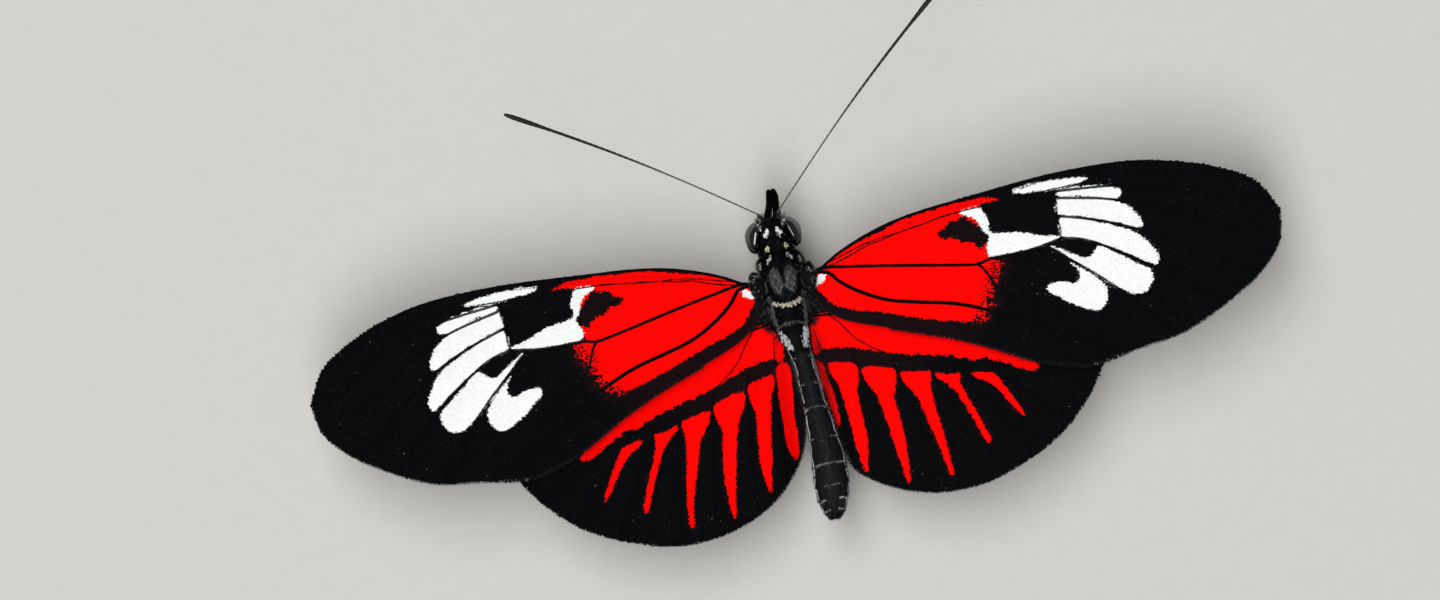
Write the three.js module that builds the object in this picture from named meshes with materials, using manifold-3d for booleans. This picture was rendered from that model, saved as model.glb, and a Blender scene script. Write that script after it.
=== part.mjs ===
// A postman butterfly, life size, standing on its four walking legs with its wings spread flat.
// Millimetres. +X is the insect's right, +Y points past its head and +Z is up.
// Every size below is measured from a point over the middle of the thorax, at floor level.
// The finished group is moved sideways at the end, so that its box is centred on the origin.

import * as THREE from 'three';
import { mergeVertices } from 'three/addons/utils/BufferGeometryUtils.js';
import Module from 'manifold-3d';

// Driving dimensions
const WINGSPAN = 78.2;
const WING_THICKNESS = 0.5;
const WING_LEVEL = 6.6;
const WING_OVERLAP_RISE = 0.42;
const DIHEDRAL = 0.085;
const TIP_DROOP = 0.0011;
const FORWARD_RISE = 0.03;
const BODY_LEVEL = 6.0;
const ANTENNA_REACH = 21.8;
const FEELER_RADIUS = 0.25;
const SOLE_LEVEL = 0.2;
const GAP = 0.32;

// The two sides, with the sign of their X
const SIDES = { left: -1, right: 1 };

// Colours of the insect's parts, with their roughness
const FINISHES = {
  scaledBlack: [0x0c0d11, 0.75],
  hairyBlack: [0x17181c, 0.9],
  eye: [0x120d0c, 0.18],
  horn: [0x141416, 0.45],
  wingRed: [0xe60404, 0.7],
  wingBlack: [0x0b0c10, 0.7],
};

// The body, as rows of place along Y, half width, half depth, centre X and centre height
const HEAD = [
  [3.55, 1.2, 0.95, 0, 6.05],
  [4.0, 1.5, 1.2, 0, 6.0],
  [4.7, 1.58, 1.28, 0, 5.95],
  [5.4, 1.35, 1.15, 0, 5.9],
  [6.0, 0.85, 0.8, 0, 5.85],
];
const PROTHORAX = [
  [2.5, 1.78, 1.58, 0, 6.1],
  [2.85, 1.7, 1.48, 0, 6.1],
  [3.2, 1.32, 1.18, 0, 6.1],
];
const THORAX = [
  [-3.05, 1.34, 1.28, 0.05, 6.25],
  [-2.3, 1.72, 1.85, 0, 6.15],
  [-1.2, 1.96, 2.2, 0, BODY_LEVEL],
  [0.2, 2.05, 2.35, 0, BODY_LEVEL],
  [1.4, 2.0, 2.15, 0, BODY_LEVEL],
  [2.18, 1.76, 1.7, 0, 6.05],
];
const ABDOMEN = [
  [-18.6, 0.45, 0.5, 0.38, 5.35],
  [-17.4, 1.12, 1.08, 0.46, 5.45],
  [-15.8, 1.44, 1.34, 0.62, 5.6],
  [-13.6, 1.36, 1.34, 0.73, 5.8],
  [-10.8, 1.06, 1.16, 0.64, 6.05],
  [-8.2, 0.86, 1.0, 0.48, 6.2],
  [-5.6, 0.82, 0.92, 0.3, 6.25],
  [-4.4, 1.02, 1.02, 0.17, 6.25],
  [-3.42, 1.25, 1.12, 0.07, 6.25],
];
const ABDOMEN_RINGS = 8;
const RING_SWELL = 0.025;

// The eye, a dome that is flatter on its inner side
const EYE_CENTRE = [1.42, 4.75, 6.15];
const EYE_RADII = [0.88, 1.27, 1.27];
const EYE_INNER_SHARE = 0.38;

// The wings' edges on the right side, as points in the plan view, each row in one sweep
const FOREWING = {
  costa: [[2.4, 0.85], [5, 2.35], [9.4, 3.8], [16, 4.55], [23.5, 5], [29.5, 4.62], [34.5, 3.1],
    [37.6, 1.25], [WINGSPAN / 2, -1.3]],
  termen: [[WINGSPAN / 2, -1.3], [38.5, -3.9], [36.3, -6.2], [33.4, -7.95], [30.4, -9.3], [26.5, -9.95],
    [22.4, -10.5]],
  trailing: [[2.4, -1.9], [4.2, -3.15], [7.6, -4.5], [12.2, -6.2], [15.2, -7.6], [18.2, -9.2], [22.4, -10.5]],
};
const HINDWING = {
  costa: [[2.35, -1.85], [7, -2.1], [13, -3.3], [18.5, -5], [22.4, -6.7], [24.1, -8.9]],
  termen: [[24.1, -8.9], [23.3, -10.9], [21.6, -13.2], [19.1, -15.4], [16, -16.95], [12.4, -18], [9, -17.98],
    [5.9, -17.1], [3.5, -15.65]],
};
// How far each forewing reaches, as a share of its plan: the insect holds them a little differently
const FOREWING_REACH = { left: 0.985, right: 1.015 };
const WING_ROOT = 2;
const HINDWING_ROOT_BACK = -3.6;
const HINDWING_ROOT_REACH = 1.75;
const ANAL_ANGLE = { left: [1.5, -13.35], right: [2.52, -14.65] };
const ANAL_FOLD_DEPTH = 0.7;
const ANAL_FOLD_WIDTH = 1.6;
const INNER_MARGIN_STEPS = 4;

// The antennae, which the insect holds at two different angles from straight ahead, in degrees
const ANTENNA_BASE = [0.68, 6.3, 7.0];
const ANTENNA_ANGLE = { left: 57.1, right: 47.2 };
const ANTENNA_LIFT = 12;
const ANTENNA_BOW = 0.35;
const CLUB_RADIUS = 0.36;
const CLUB_SHARE = 0.16;

// The legs' joints on the right side, and their thickness
const WALKING_LEGS = {
  mid: { hip: [1.05, 0.5, 3.5], trochanter: [1.45, 0.6, 2.65], knee: [5.2, 1.8, 4.7], ankle: [8, 2.3, 0.42],
    claw: [11.6, 2.95] },
  hind: { hip: [1.05, -1.5, 3.55], trochanter: [1.45, -1.8, 2.7], knee: [4.9, -5.1, 4.5], ankle: [7.1, -8.4, 0.42],
    claw: [9.1, -11.9] },
};
const FORELEG = { hip: [0.75, 2.35, 4.05], knee: [1.35, 3.3, 3.0], tip: [0.95, 4.5, 3.85] };
const LEG_RADII = { coxa: [0.48, 0.38], femur: [0.36, 0.3], tibia: [0.28, 0.27], tarsus: [0.27, 0.25] };

// The palps, which both lean to the insect's right, the coiled tongue and the lobes over the wing roots
const PALP = [[0.4, 6.4, 4.98], [0.35, 7.0, 5.45], [0.31, 7.65, 6.15], [0.31, 8.15, 6.8]];
const PALP_LEAN = [0.26, 0.42, 0.5, 0.48];
const PALP_RADIUS = 0.3;
const TONGUE_CENTRE = [0, 6.15, 3.85];
const TONGUE_RADIUS = 0.78;
const TONGUE_THICKNESS = 0.5;
const TEGULA_CENTRE = [2.3, 0.95, 7.85];
const TEGULA_RADII = [0.72, 1.1, 0.4];

const wasm = await Module();
wasm.setup();

/** A point of three numbers, mirrored to the given side. */
function point([x, y, z], sign = 1) {
  return new THREE.Vector3(x * sign, y, z);
}

/** Values joined smoothly between rows that each start with their place. */
function stations(rows) {
  const places = rows.map((row) => row[0]);
  const values = rows.flatMap((row) => row.slice(1));
  const smooth = new THREE.CubicInterpolant(places, values, rows[0].length - 1);
  return (place) => Array.from(smooth.evaluate(place));
}

/** A closed tube: rings of half width and half depth around a path, given by functions of 0 to 1. */
function tube(pathAt, girthAt, steps, sides) {
  const shape = new THREE.CylinderGeometry(1, 1, 1, sides, steps);
  const spots = shape.attributes.position;
  const nudge = 0.001;
  const up = new THREE.Vector3(0, 0, 1);
  for (let i = 0; i < spots.count; i += 1) {
    const t = spots.getY(i) + 0.5;
    const ahead = pathAt(Math.min(t + nudge, 1)).sub(pathAt(Math.max(t - nudge, 0))).normalize();
    const across = ahead.clone().cross(up).normalize();
    const over = across.clone().cross(ahead);
    const [width, depth] = girthAt(t);
    const spot = pathAt(t).addScaledVector(across, spots.getX(i) * width);
    spot.addScaledVector(over, spots.getZ(i) * depth);
    spots.setXYZ(i, spot.x, spot.y, spot.z);
  }
  return shape;
}

/** Spreads even steps of 0 to 1 so that they crowd towards both ends. */
function crowded(t) {
  return (1 - Math.cos(Math.PI * t)) / 2;
}

/** A length of the body along Y, through rows of half width, half depth, centre X and centre height. */
function trunk(rows, steps, sides, swellAt = () => 1) {
  const at = stations(rows);
  const first = rows[0][0];
  const last = rows[rows.length - 1][0];
  const placeAt = (t) => THREE.MathUtils.lerp(first, last, crowded(t));
  const pathAt = (t) => {
    const [, , x, z] = at(placeAt(t));
    return new THREE.Vector3(x, placeAt(t), z);
  };
  const girthAt = (t) => {
    const [width, depth] = at(placeAt(t));
    return [width * swellAt(t), depth * swellAt(t)];
  };
  return tube(pathAt, girthAt, steps, sides);
}

/** A straight tapered rod between two joints, drawn back from each by half a gap. */
function rod(from, to, [thick, thin], sides = 8) {
  const along = to.clone().sub(from).normalize();
  const start = from.clone().addScaledVector(along, GAP / 2 + thick * 0.3);
  const end = to.clone().addScaledVector(along, -GAP / 2 - thin * 0.3);
  const pathAt = (t) => start.clone().lerp(end, t);
  const girthAt = (t) => {
    const radius = THREE.MathUtils.lerp(thick, thin, t) * (1 - 0.35 * (2 * t - 1) ** 6);
    return [radius, radius];
  };
  return tube((t) => pathAt(crowded(t)), (t) => girthAt(crowded(t)), 4, sides);
}

/** A solid of a closed geometry, for cutting. */
function solid(geometry) {
  const bare = geometry.clone();
  bare.deleteAttribute('normal');
  bare.deleteAttribute('uv');
  const whole = mergeVertices(bare, 1e-4);
  const vertProperties = new Float32Array(whole.attributes.position.array);
  const triVerts = new Uint32Array(whole.index.array);
  return new wasm.Manifold(new wasm.Mesh({ numProp: 3, vertProperties, triVerts }));
}

/** The geometry of a cut solid. */
function geometryOf(manifold) {
  const mesh = manifold.getMesh();
  const geometry = new THREE.BufferGeometry();
  geometry.setAttribute('position', new THREE.BufferAttribute(mesh.vertProperties, 3));
  geometry.setIndex(new THREE.BufferAttribute(mesh.triVerts, 1));
  geometry.computeVertexNormals();
  return geometry;
}

/** An ellipsoid with its centre and its three radii. */
function ellipsoid(centre, radii, columns, rows) {
  const shape = new THREE.SphereGeometry(1, columns, rows);
  shape.scale(...radii);
  shape.translate(centre.x, centre.y, centre.z);
  return shape;
}

/** An eye on one side, grown all round by a margin. */
function eye(sign, margin = 0) {
  const shape = new THREE.SphereGeometry(1, 16, 12);
  const spots = shape.attributes.position;
  const [rx, ry, rz] = EYE_RADII;
  for (let i = 0; i < spots.count; i += 1) {
    const x = spots.getX(i);
    const reach = x * sign > 0 ? rx + margin : rx * EYE_INNER_SHARE + margin;
    spots.setXYZ(i, x * reach, spots.getY(i) * (ry + margin), spots.getZ(i) * (rz + margin));
  }
  const centre = point(EYE_CENTRE, sign);
  shape.translate(centre.x, centre.y, centre.z);
  return shape;
}

/** The head, with a socket round each eye. */
function head() {
  const capsule = solid(trunk(HEAD, 10, 18));
  const sockets = solid(eye(-1, GAP)).add(solid(eye(1, GAP)));
  return geometryOf(capsule.subtract(sockets));
}

/** The abdomen, with its rings just showing. */
function abdomen() {
  return trunk(ABDOMEN, 27, 16, (t) => 1 + RING_SWELL * Math.cos(2 * Math.PI * ABDOMEN_RINGS * crowded(t)));
}

/** A palp, a blunt finger that curves up in front of the face. */
function palp(sign) {
  const lean = ([x, y, z], i) => new THREE.Vector3(x * sign + PALP_LEAN[i], y, z);
  const path = new THREE.CatmullRomCurve3(PALP.map(lean));
  const girthAt = (t) => {
    const radius = PALP_RADIUS * (1 - 0.55 * (2 * t - 0.8) ** 4);
    return [radius * 0.85, radius];
  };
  return tube((t) => path.getPointAt(t), girthAt, 7, 8);
}

/** The coiled tongue, as the disc that its turns fill. */
function tongue() {
  const half = TONGUE_THICKNESS / 2;
  const rim = [[0, -half], [TONGUE_RADIUS - 0.12, -half], [TONGUE_RADIUS, 0], [TONGUE_RADIUS - 0.12, half], [0, half]];
  const disc = new THREE.LatheGeometry(rim.map(([r, z]) => new THREE.Vector2(r, z)), 20);
  disc.rotateZ(Math.PI / 2);
  disc.translate(...TONGUE_CENTRE);
  return disc;
}

/** An antenna, a fine rod that bows a little and thickens to a slender club. */
function antenna(name) {
  const sign = SIDES[name];
  const angle = THREE.MathUtils.degToRad(ANTENNA_ANGLE[name]);
  const out = new THREE.Vector3(sign * Math.sin(angle), Math.cos(angle), 0);
  const sideways = new THREE.Vector3(-sign * Math.cos(angle), Math.sin(angle), 0);
  const rise = Math.tan(THREE.MathUtils.degToRad(ANTENNA_LIFT)) * ANTENNA_REACH;
  const pathAt = (t) => {
    const spot = point(ANTENNA_BASE, sign).addScaledVector(out, ANTENNA_REACH * t);
    spot.addScaledVector(sideways, ANTENNA_BOW * Math.sin(Math.PI * t));
    spot.z += rise * t * (1 - 0.18 * t);
    return spot;
  };
  const girthAt = (t) => {
    const club = THREE.MathUtils.smoothstep(t, 1 - CLUB_SHARE, 1 - CLUB_SHARE * 0.35);
    const end = 1 - 0.45 * THREE.MathUtils.smoothstep(t, 1 - CLUB_SHARE * 0.3, 1);
    const radius = THREE.MathUtils.lerp(FEELER_RADIUS, CLUB_RADIUS, club) * end;
    return [radius, radius];
  };
  return tube(pathAt, girthAt, 20, 8);
}

/** The half width and centre X of the abdomen at a place along Y. */
function abdomenEdge(y) {
  const [width, , x] = stations(ABDOMEN)(THREE.MathUtils.clamp(y, ABDOMEN[0][0], ABDOMEN[ABDOMEN.length - 1][0]));
  return { width: width * (1 + RING_SWELL), x };
}

/** A curve in plan through points given on the right side. */
function planCurve(points) {
  return new THREE.CatmullRomCurve3(points.map(([x, y]) => new THREE.Vector3(x, y, 0)), false, 'centripetal');
}

/** The hindwing's inner margin, which follows the side of the abdomen to the anal angle. */
function innerMargin(name) {
  const [x1, y1] = ANAL_ANGLE[name];
  const points = [[HINDWING_ROOT_REACH, HINDWING_ROOT_BACK]];
  for (let i = 1; i < INNER_MARGIN_STEPS; i += 1) {
    const y = THREE.MathUtils.lerp(HINDWING_ROOT_BACK, y1, i / INNER_MARGIN_STEPS);
    const { width, x } = abdomenEdge(y);
    points.push([width + GAP + 0.06 + x * SIDES[name], y]);
  }
  points.push([x1, y1]);
  return points;
}

/** The four edges of a wing on one side, as curves in plan. */
function wingEdges(kind, name) {
  const inner = kind === 'forewing' ? FOREWING.trailing : innerMargin(name);
  const { costa } = kind === 'forewing' ? FOREWING : HINDWING;
  const termen = kind === 'forewing' ? FOREWING.termen : [...HINDWING.termen, ANAL_ANGLE[name]];
  return {
    costa: planCurve(costa),
    termen: planCurve(termen),
    trailing: planCurve(inner),
    root: new THREE.LineCurve3(new THREE.Vector3(...costa[0], 0), new THREE.Vector3(...inner[0], 0)),
  };
}

/** A point of the patch between four edges: u runs out from the root, v from the front edge back. */
function patch({ costa, termen, trailing, root }, u, v) {
  const lengthwise = costa.getPointAt(u).lerp(trailing.getPointAt(u), v);
  const crosswise = root.getPointAt(v).lerp(termen.getPointAt(v), u);
  const front = root.getPointAt(0).lerp(termen.getPointAt(0), u);
  const back = root.getPointAt(1).lerp(termen.getPointAt(1), u);
  return lengthwise.add(crosswise).sub(front.lerp(back, v));
}

/** The height of a wing's middle, which rises outwards, flattens at the tip and folds down by the body. */
function wingHeight(kind, x, y) {
  const reach = x - WING_ROOT;
  const spread = WING_LEVEL + DIHEDRAL * reach - TIP_DROOP * reach ** 2 + FORWARD_RISE * y;
  if (kind === 'forewing') return spread + WING_OVERLAP_RISE;
  const behind = THREE.MathUtils.smoothstep(-y, -HINDWING_ROOT_BACK, -HINDWING_ROOT_BACK + 4);
  const fold = Math.exp(-(((x - 1.2) / ANAL_FOLD_WIDTH) ** 2));
  return spread - WING_OVERLAP_RISE - ANAL_FOLD_DEPTH * behind * fold;
}

/** A wing, a plate of even thickness bent to its edges and its height. */
function wing(kind, name, spanSteps, chordSteps) {
  const sign = SIDES[name];
  const edges = wingEdges(kind, name);
  const share = kind === 'forewing' ? FOREWING_REACH[name] : 1;
  const plate = new THREE.BoxGeometry(1, 1, 1, spanSteps, chordSteps, 1);
  const spots = plate.attributes.position;
  for (let i = 0; i < spots.count; i += 1) {
    const spot = patch(edges, 0.5 + sign * spots.getX(i), 0.5 - spots.getY(i));
    const z = wingHeight(kind, spot.x, spot.y) + spots.getZ(i) * WING_THICKNESS;
    spots.setXYZ(i, (WING_ROOT + (spot.x - WING_ROOT) * share) * sign, spot.y, z);
  }
  return plate;
}

/** The foot of a leg, a rod that lies along the floor on a flat sole. */
function tarsus(ankle, claw) {
  const shape = rod(ankle, claw, LEG_RADII.tarsus);
  const spots = shape.attributes.position;
  for (let i = 0; i < spots.count; i += 1) {
    spots.setZ(i, Math.max(spots.getZ(i), 0));
  }
  return shape;
}

/** The pieces of a walking leg, from the hip to the foot. */
function walkingLeg(place, name) {
  const sign = SIDES[name];
  const leg = WALKING_LEGS[place];
  const joint = (key) => point(leg[key], sign);
  const sole = new THREE.Vector3(leg.claw[0] * sign, leg.claw[1], SOLE_LEVEL);
  const heel = joint('ankle').setZ(SOLE_LEVEL);
  const lean = sole.clone().sub(heel).setLength(GAP);
  return {
    coxa: rod(joint('hip'), joint('trochanter'), LEG_RADII.coxa),
    femur: rod(joint('trochanter'), joint('knee'), LEG_RADII.femur),
    tibia: rod(joint('knee'), joint('ankle'), LEG_RADII.tibia),
    tarsus: tarsus(heel.add(lean), sole),
  };
}

/** The pieces of a foreleg, which is short and folded under the head. */
function foreleg(name) {
  const sign = SIDES[name];
  const hip = point(FORELEG.hip, sign);
  const knee = point(FORELEG.knee, sign);
  const tip = point(FORELEG.tip, sign);
  return { femur: rod(hip, knee, LEG_RADII.femur, 6), tibia: rod(knee, tip, LEG_RADII.tibia, 6) };
}

/** Adds a named piece with a finish of its own. */
function add(group, name, geometry, finish) {
  const [color, roughness] = FINISHES[finish];
  const mesh = new THREE.Mesh(geometry, new THREE.MeshStandardMaterial({ color, roughness, metalness: 0 }));
  mesh.name = name;
  group.add(mesh);
}

/** The head with its eyes, palps, tongue and antennae. */
function headGroup() {
  const group = new THREE.Group();
  add(group, 'head', head(), 'hairyBlack');
  add(group, 'proboscis', tongue(), 'horn');
  for (const [name, sign] of Object.entries(SIDES)) {
    add(group, `eye_${name}`, eye(sign), 'eye');
    add(group, `palp_${name}`, palp(sign), 'hairyBlack');
    add(group, `antenna_${name}`, antenna(name), 'horn');
  }
  return group;
}

/** The neck, thorax and abdomen, with the lobes over the wing roots. */
function trunkGroup() {
  const group = new THREE.Group();
  add(group, 'prothorax', trunk(PROTHORAX, 5, 18), 'hairyBlack');
  add(group, 'thorax', trunk(THORAX, 12, 20), 'hairyBlack');
  add(group, 'abdomen', abdomen(), 'scaledBlack');
  for (const [name, sign] of Object.entries(SIDES)) {
    add(group, `tegula_${name}`, ellipsoid(point(TEGULA_CENTRE, sign), TEGULA_RADII, 12, 8), 'hairyBlack');
  }
  return group;
}

/** The four wings. */
function wingGroup() {
  const group = new THREE.Group();
  for (const name of Object.keys(SIDES)) {
    add(group, `forewing_${name}`, wing('forewing', name, 22, 9), 'wingBlack');
    add(group, `hindwing_${name}`, wing('hindwing', name, 15, 12), 'wingRed');
  }
  return group;
}

/** The six legs. */
function legGroup() {
  const group = new THREE.Group();
  for (const name of Object.keys(SIDES)) {
    for (const [piece, geometry] of Object.entries(foreleg(name))) {
      add(group, `foreleg_${piece}_${name}`, geometry, 'hairyBlack');
    }
    for (const place of Object.keys(WALKING_LEGS)) {
      for (const [piece, geometry] of Object.entries(walkingLeg(place, name))) {
        add(group, `${place}leg_${piece}_${name}`, geometry, 'scaledBlack');
      }
    }
  }
  return group;
}

const butterfly = new THREE.Group();
butterfly.add(headGroup(), trunkGroup(), wingGroup(), legGroup());
const box = new THREE.Box3().setFromObject(butterfly);
const middle = box.getCenter(new THREE.Vector3());
butterfly.position.set(-middle.x, -middle.y, -box.min.z);

export default butterfly;
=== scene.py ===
"""A postman butterfly, life size, standing with its wings spread flat, as a museum shows it.

Until a mesh is made, lengths are millimetres in the insect's own axes: +X is its right, +Y is ahead of
its head and +Z is up from the floor, measured from a point over the middle of the thorax. Values are
given for the right side, and the left is their mirror image unless a value names its side. Plan means
the view from straight above.
"""
import logging
import math
from dataclasses import dataclass, field
from enum import Enum

import bpy
import numpy as np
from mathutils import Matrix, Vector
from numpy.typing import NDArray


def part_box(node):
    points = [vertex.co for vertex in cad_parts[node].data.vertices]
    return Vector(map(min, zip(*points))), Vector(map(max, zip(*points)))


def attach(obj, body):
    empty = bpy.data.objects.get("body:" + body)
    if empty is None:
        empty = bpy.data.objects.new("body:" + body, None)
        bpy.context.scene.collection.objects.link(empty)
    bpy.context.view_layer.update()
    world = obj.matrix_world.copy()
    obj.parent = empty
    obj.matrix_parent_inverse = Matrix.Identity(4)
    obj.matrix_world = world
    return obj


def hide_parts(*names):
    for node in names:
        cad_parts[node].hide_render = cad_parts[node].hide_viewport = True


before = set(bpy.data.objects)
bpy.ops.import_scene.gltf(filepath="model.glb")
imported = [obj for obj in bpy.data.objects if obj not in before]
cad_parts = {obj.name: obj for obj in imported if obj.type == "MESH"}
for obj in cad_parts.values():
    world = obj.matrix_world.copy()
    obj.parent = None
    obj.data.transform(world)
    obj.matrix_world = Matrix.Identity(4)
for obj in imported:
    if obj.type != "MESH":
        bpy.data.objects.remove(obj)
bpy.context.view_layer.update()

Array = NDArray[np.float64]
Index = NDArray[np.int64]
Dyes = dict[str, Array]
Finishes = dict[str, bpy.types.Material]

log = logging.getLogger("postman_butterfly")

MM = 0.001
ROOT = "root"
THORAX_FRONT = 2.18

# The baking map: the width of one tuft's patch, how many millimetres the map is across, and how far behind
# the middle of the thorax it starts
PATCH = 0.003
MAP_SPAN = 44.0
MAP_BACK = 20.0

# The camera looks straight down, turned so that the insect lies as it does in the photograph
IMAGE_WIDTH = 1440
PIXELS_PER_MM = 12.6
VIEW_CENTRE = (-5.19, 0.38)
VIEW_TURN = -11.5
VIEW_DISTANCE = 600.0
SENSOR_WIDTH = 36.0

# The level of the wings, which rise outwards and flatten at the tips
WING_LEVEL = 6.6
WING_OVERLAP_RISE = 0.42
DIHEDRAL = 0.085
TIP_DROOP = 0.0011
FORWARD_RISE = 0.03
WING_ROOT_X = 2.0
# The height of the middle of the wings, at which the view is to scale
VIEW_LEVEL = WING_LEVEL + 1.0
ANAL_FOLD_DEPTH = 0.7
ANAL_FOLD_WIDTH = 1.6
ANAL_FOLD_X = 1.2
ANAL_FOLD_START = 3.6
ANAL_FOLD_LENGTH = 4.0


class Side(Enum):
    """The two sides of the insect, with the sign of their X."""

    LEFT = -1
    RIGHT = 1

    @property
    def word(self) -> str:
        """The side's word in the names of pieces."""
        return self.name.lower()


class Pair(Enum):
    """The two pairs of wings, with the word in their names."""

    FORE = "forewing"
    HIND = "hindwing"


class Face(Enum):
    """The two faces of a wing, with the sign of their height."""

    UPPER = 1
    LOWER = -1


def smoothstep(value: Array, low: float, high: float) -> Array:
    """A soft step from 0 at low to 1 at high, along the cubic 3t^2 - 2t^3.

    Args:
        value: Where to take it.
        low: The value at which the step starts.
        high: The value at which it ends.

    Returns:
        The step at each value.
    """
    share = np.clip((value - low) / (high - low), 0.0, 1.0)
    return share * share * (3.0 - 2.0 * share)


def unit(vectors: Array) -> Array:
    """The vectors of the last axis, each brought to length 1."""
    return vectors / np.maximum(np.linalg.norm(vectors, axis=-1, keepdims=True), 1e-12)


def smooth_through(at: Array, places: Array, values: Array) -> Array:
    """A cubic through rows of values: between two rows it is the Hermite curve whose end slopes are
    those of the parabola through each row and its neighbours.

    Args:
        at: Where to take the curve.
        places: The place of each row, rising.
        values: The value, or row of values, at each place.

    Returns:
        The values at each spot of at.
    """
    slopes = np.gradient(values, places, axis=0)
    left = np.clip(np.searchsorted(places, at, side="right") - 1, 0, len(places) - 2)
    span = places[left + 1] - places[left]
    t = np.clip((at - places[left]) / span, 0.0, 1.0)
    if values.ndim > 1:
        span, t = span[..., None], t[..., None]
    start = (1 + 2 * t) * (1 - t) ** 2 * values[left] + t * (1 - t) ** 2 * span * slopes[left]
    end = t**2 * (3 - 2 * t) * values[left + 1] + t**2 * (t - 1) * span * slopes[left + 1]
    return start + end


def smooth_path(points: Array, count: int) -> Array:
    """A smooth curve through points, as spots an even way apart along it.

    Args:
        points: The points that it passes, one a row.
        count: How many spots to return.

    Returns:
        The spots, one a row.
    """
    rows = np.asarray(points, float)
    chord = np.concatenate([[0.0], np.cumsum(np.linalg.norm(np.diff(rows, axis=0), axis=1) ** 0.5)])
    dense = smooth_through(np.linspace(0.0, chord[-1], 16 * len(rows)), chord, rows)
    along = np.concatenate([[0.0], np.cumsum(np.linalg.norm(np.diff(dense, axis=0), axis=1))])
    spots = np.linspace(0.0, along[-1], count)
    return np.column_stack([np.interp(spots, along, column) for column in dense.T])


def smooth_loop(points: Array, count: int) -> Array:
    """A smooth closed outline through points: the curve is drawn past both ends, and cut to one turn.

    Args:
        points: The points that it passes, one a row.
        count: How many spots to return.

    Returns:
        The spots, one a row.
    """
    rows = np.asarray(points, float)
    wrapped = np.concatenate([rows[-2:], rows, rows[:3]])
    chord = np.concatenate([[0.0], np.cumsum(np.linalg.norm(np.diff(wrapped, axis=0), axis=1) ** 0.5)])
    spots = np.linspace(chord[2], chord[2 + len(rows)], count, endpoint=False)
    return smooth_through(spots, chord, wrapped)


def distance_to(lines: list[Array], x: Array, y: Array) -> Array:
    """The distance in plan from each spot to the nearest of several lines: the least, over all straight
    stretches, of the distance to the nearest point of the stretch.

    Args:
        lines: The lines, each as rows of X and Y.
        x: X of the spots.
        y: Y of the spots.

    Returns:
        The distance at each spot, in the shape of x.
    """
    starts = np.concatenate([line[:-1] for line in lines])
    runs = np.concatenate([np.diff(line, axis=0) for line in lines])
    spots = np.stack([x, y], axis=-1).reshape(-1, 1, 2)
    best = np.full(len(spots), np.inf)
    for block in np.array_split(np.arange(len(spots)), max(1, len(spots) // 4000)):
        away = spots[block] - starts
        share = np.clip((away * runs).sum(-1) / np.maximum((runs * runs).sum(-1), 1e-12), 0.0, 1.0)
        best[block] = np.linalg.norm(away - share[..., None] * runs, axis=-1).min(axis=1)
    return best.reshape(np.shape(x))


def depth_inside(outline: Array, x: Array, y: Array, reach: float = 1.5) -> Array:
    """How deep each spot lies inside an outline in plan: the distance to the outline, below 0 outside.
    A spot is inside if a ray from it crosses the outline an odd number of times.

    Args:
        outline: The outline's points, in order, not closed.
        x: X of the spots.
        y: Y of the spots.
        reach: How far outside the outline's box the distance is still worked out.

    Returns:
        The depth at each spot, or less than -reach far away.
    """
    low, high = outline.min(axis=0) - reach, outline.max(axis=0) + reach
    near = (x > low[0]) & (x < high[0]) & (y > low[1]) & (y < high[1])
    depth = np.full(np.shape(x), -2.0 * reach)
    if not near.any():
        return depth
    px, py = x[near], y[near]
    following = np.roll(outline, -1, axis=0)
    gap = distance_to([np.concatenate([outline, outline[:1]])], px, py)
    crossings = np.zeros(len(px), int)
    for (ax, ay), (bx, by) in zip(outline, following):
        if ay != by:
            crossings += ((ay > py) != (by > py)) & (px < (bx - ax) * (py - ay) / (by - ay) + ax)
    depth[near] = np.where(crossings % 2 == 1, gap, -gap)
    return depth


def wobble(x: Array, y: Array, size: float, turn: float = 0.0) -> Array:
    """Soft noise from -1 to 1: the mean of four sine waves that run at unlike angles.

    Args:
        x: X of the spots.
        y: Y of the spots.
        size: The length of the waves.
        turn: Turns the pattern, for another one of the same kind.

    Returns:
        The noise at each spot.
    """
    total = np.zeros(np.shape(x))
    for angle, stretch in ((0.3, 1.0), (1.25, 1.37), (2.1, 0.83), (2.75, 1.19)):
        run = x * math.cos(angle + turn) + y * math.sin(angle + turn)
        total += np.sin(2 * math.pi * stretch * run / size + 9.0 * angle + turn)
    return np.clip(total / 2.5, -1.0, 1.0)


def linear(colour: str) -> tuple[float, float, float, float]:
    """The linear colour of an sRGB hex value such as #C08040, with full opacity."""
    parts = [int(colour[i : i + 2], 16) / 255 for i in (1, 3, 5)]
    return (*(c / 12.92 if c <= 0.04045 else ((c + 0.055) / 1.055) ** 2.4 for c in parts), 1.0)


def insect_origin() -> Array:
    """The point over the middle of the thorax, at floor level, in metres in the frame."""
    middle = (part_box("eye_left")[0].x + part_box("eye_right")[1].x) / 2
    return np.array([middle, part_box("thorax")[1].y - THORAX_FRONT * MM, 0.0])


ORIGIN = insect_origin()


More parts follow.
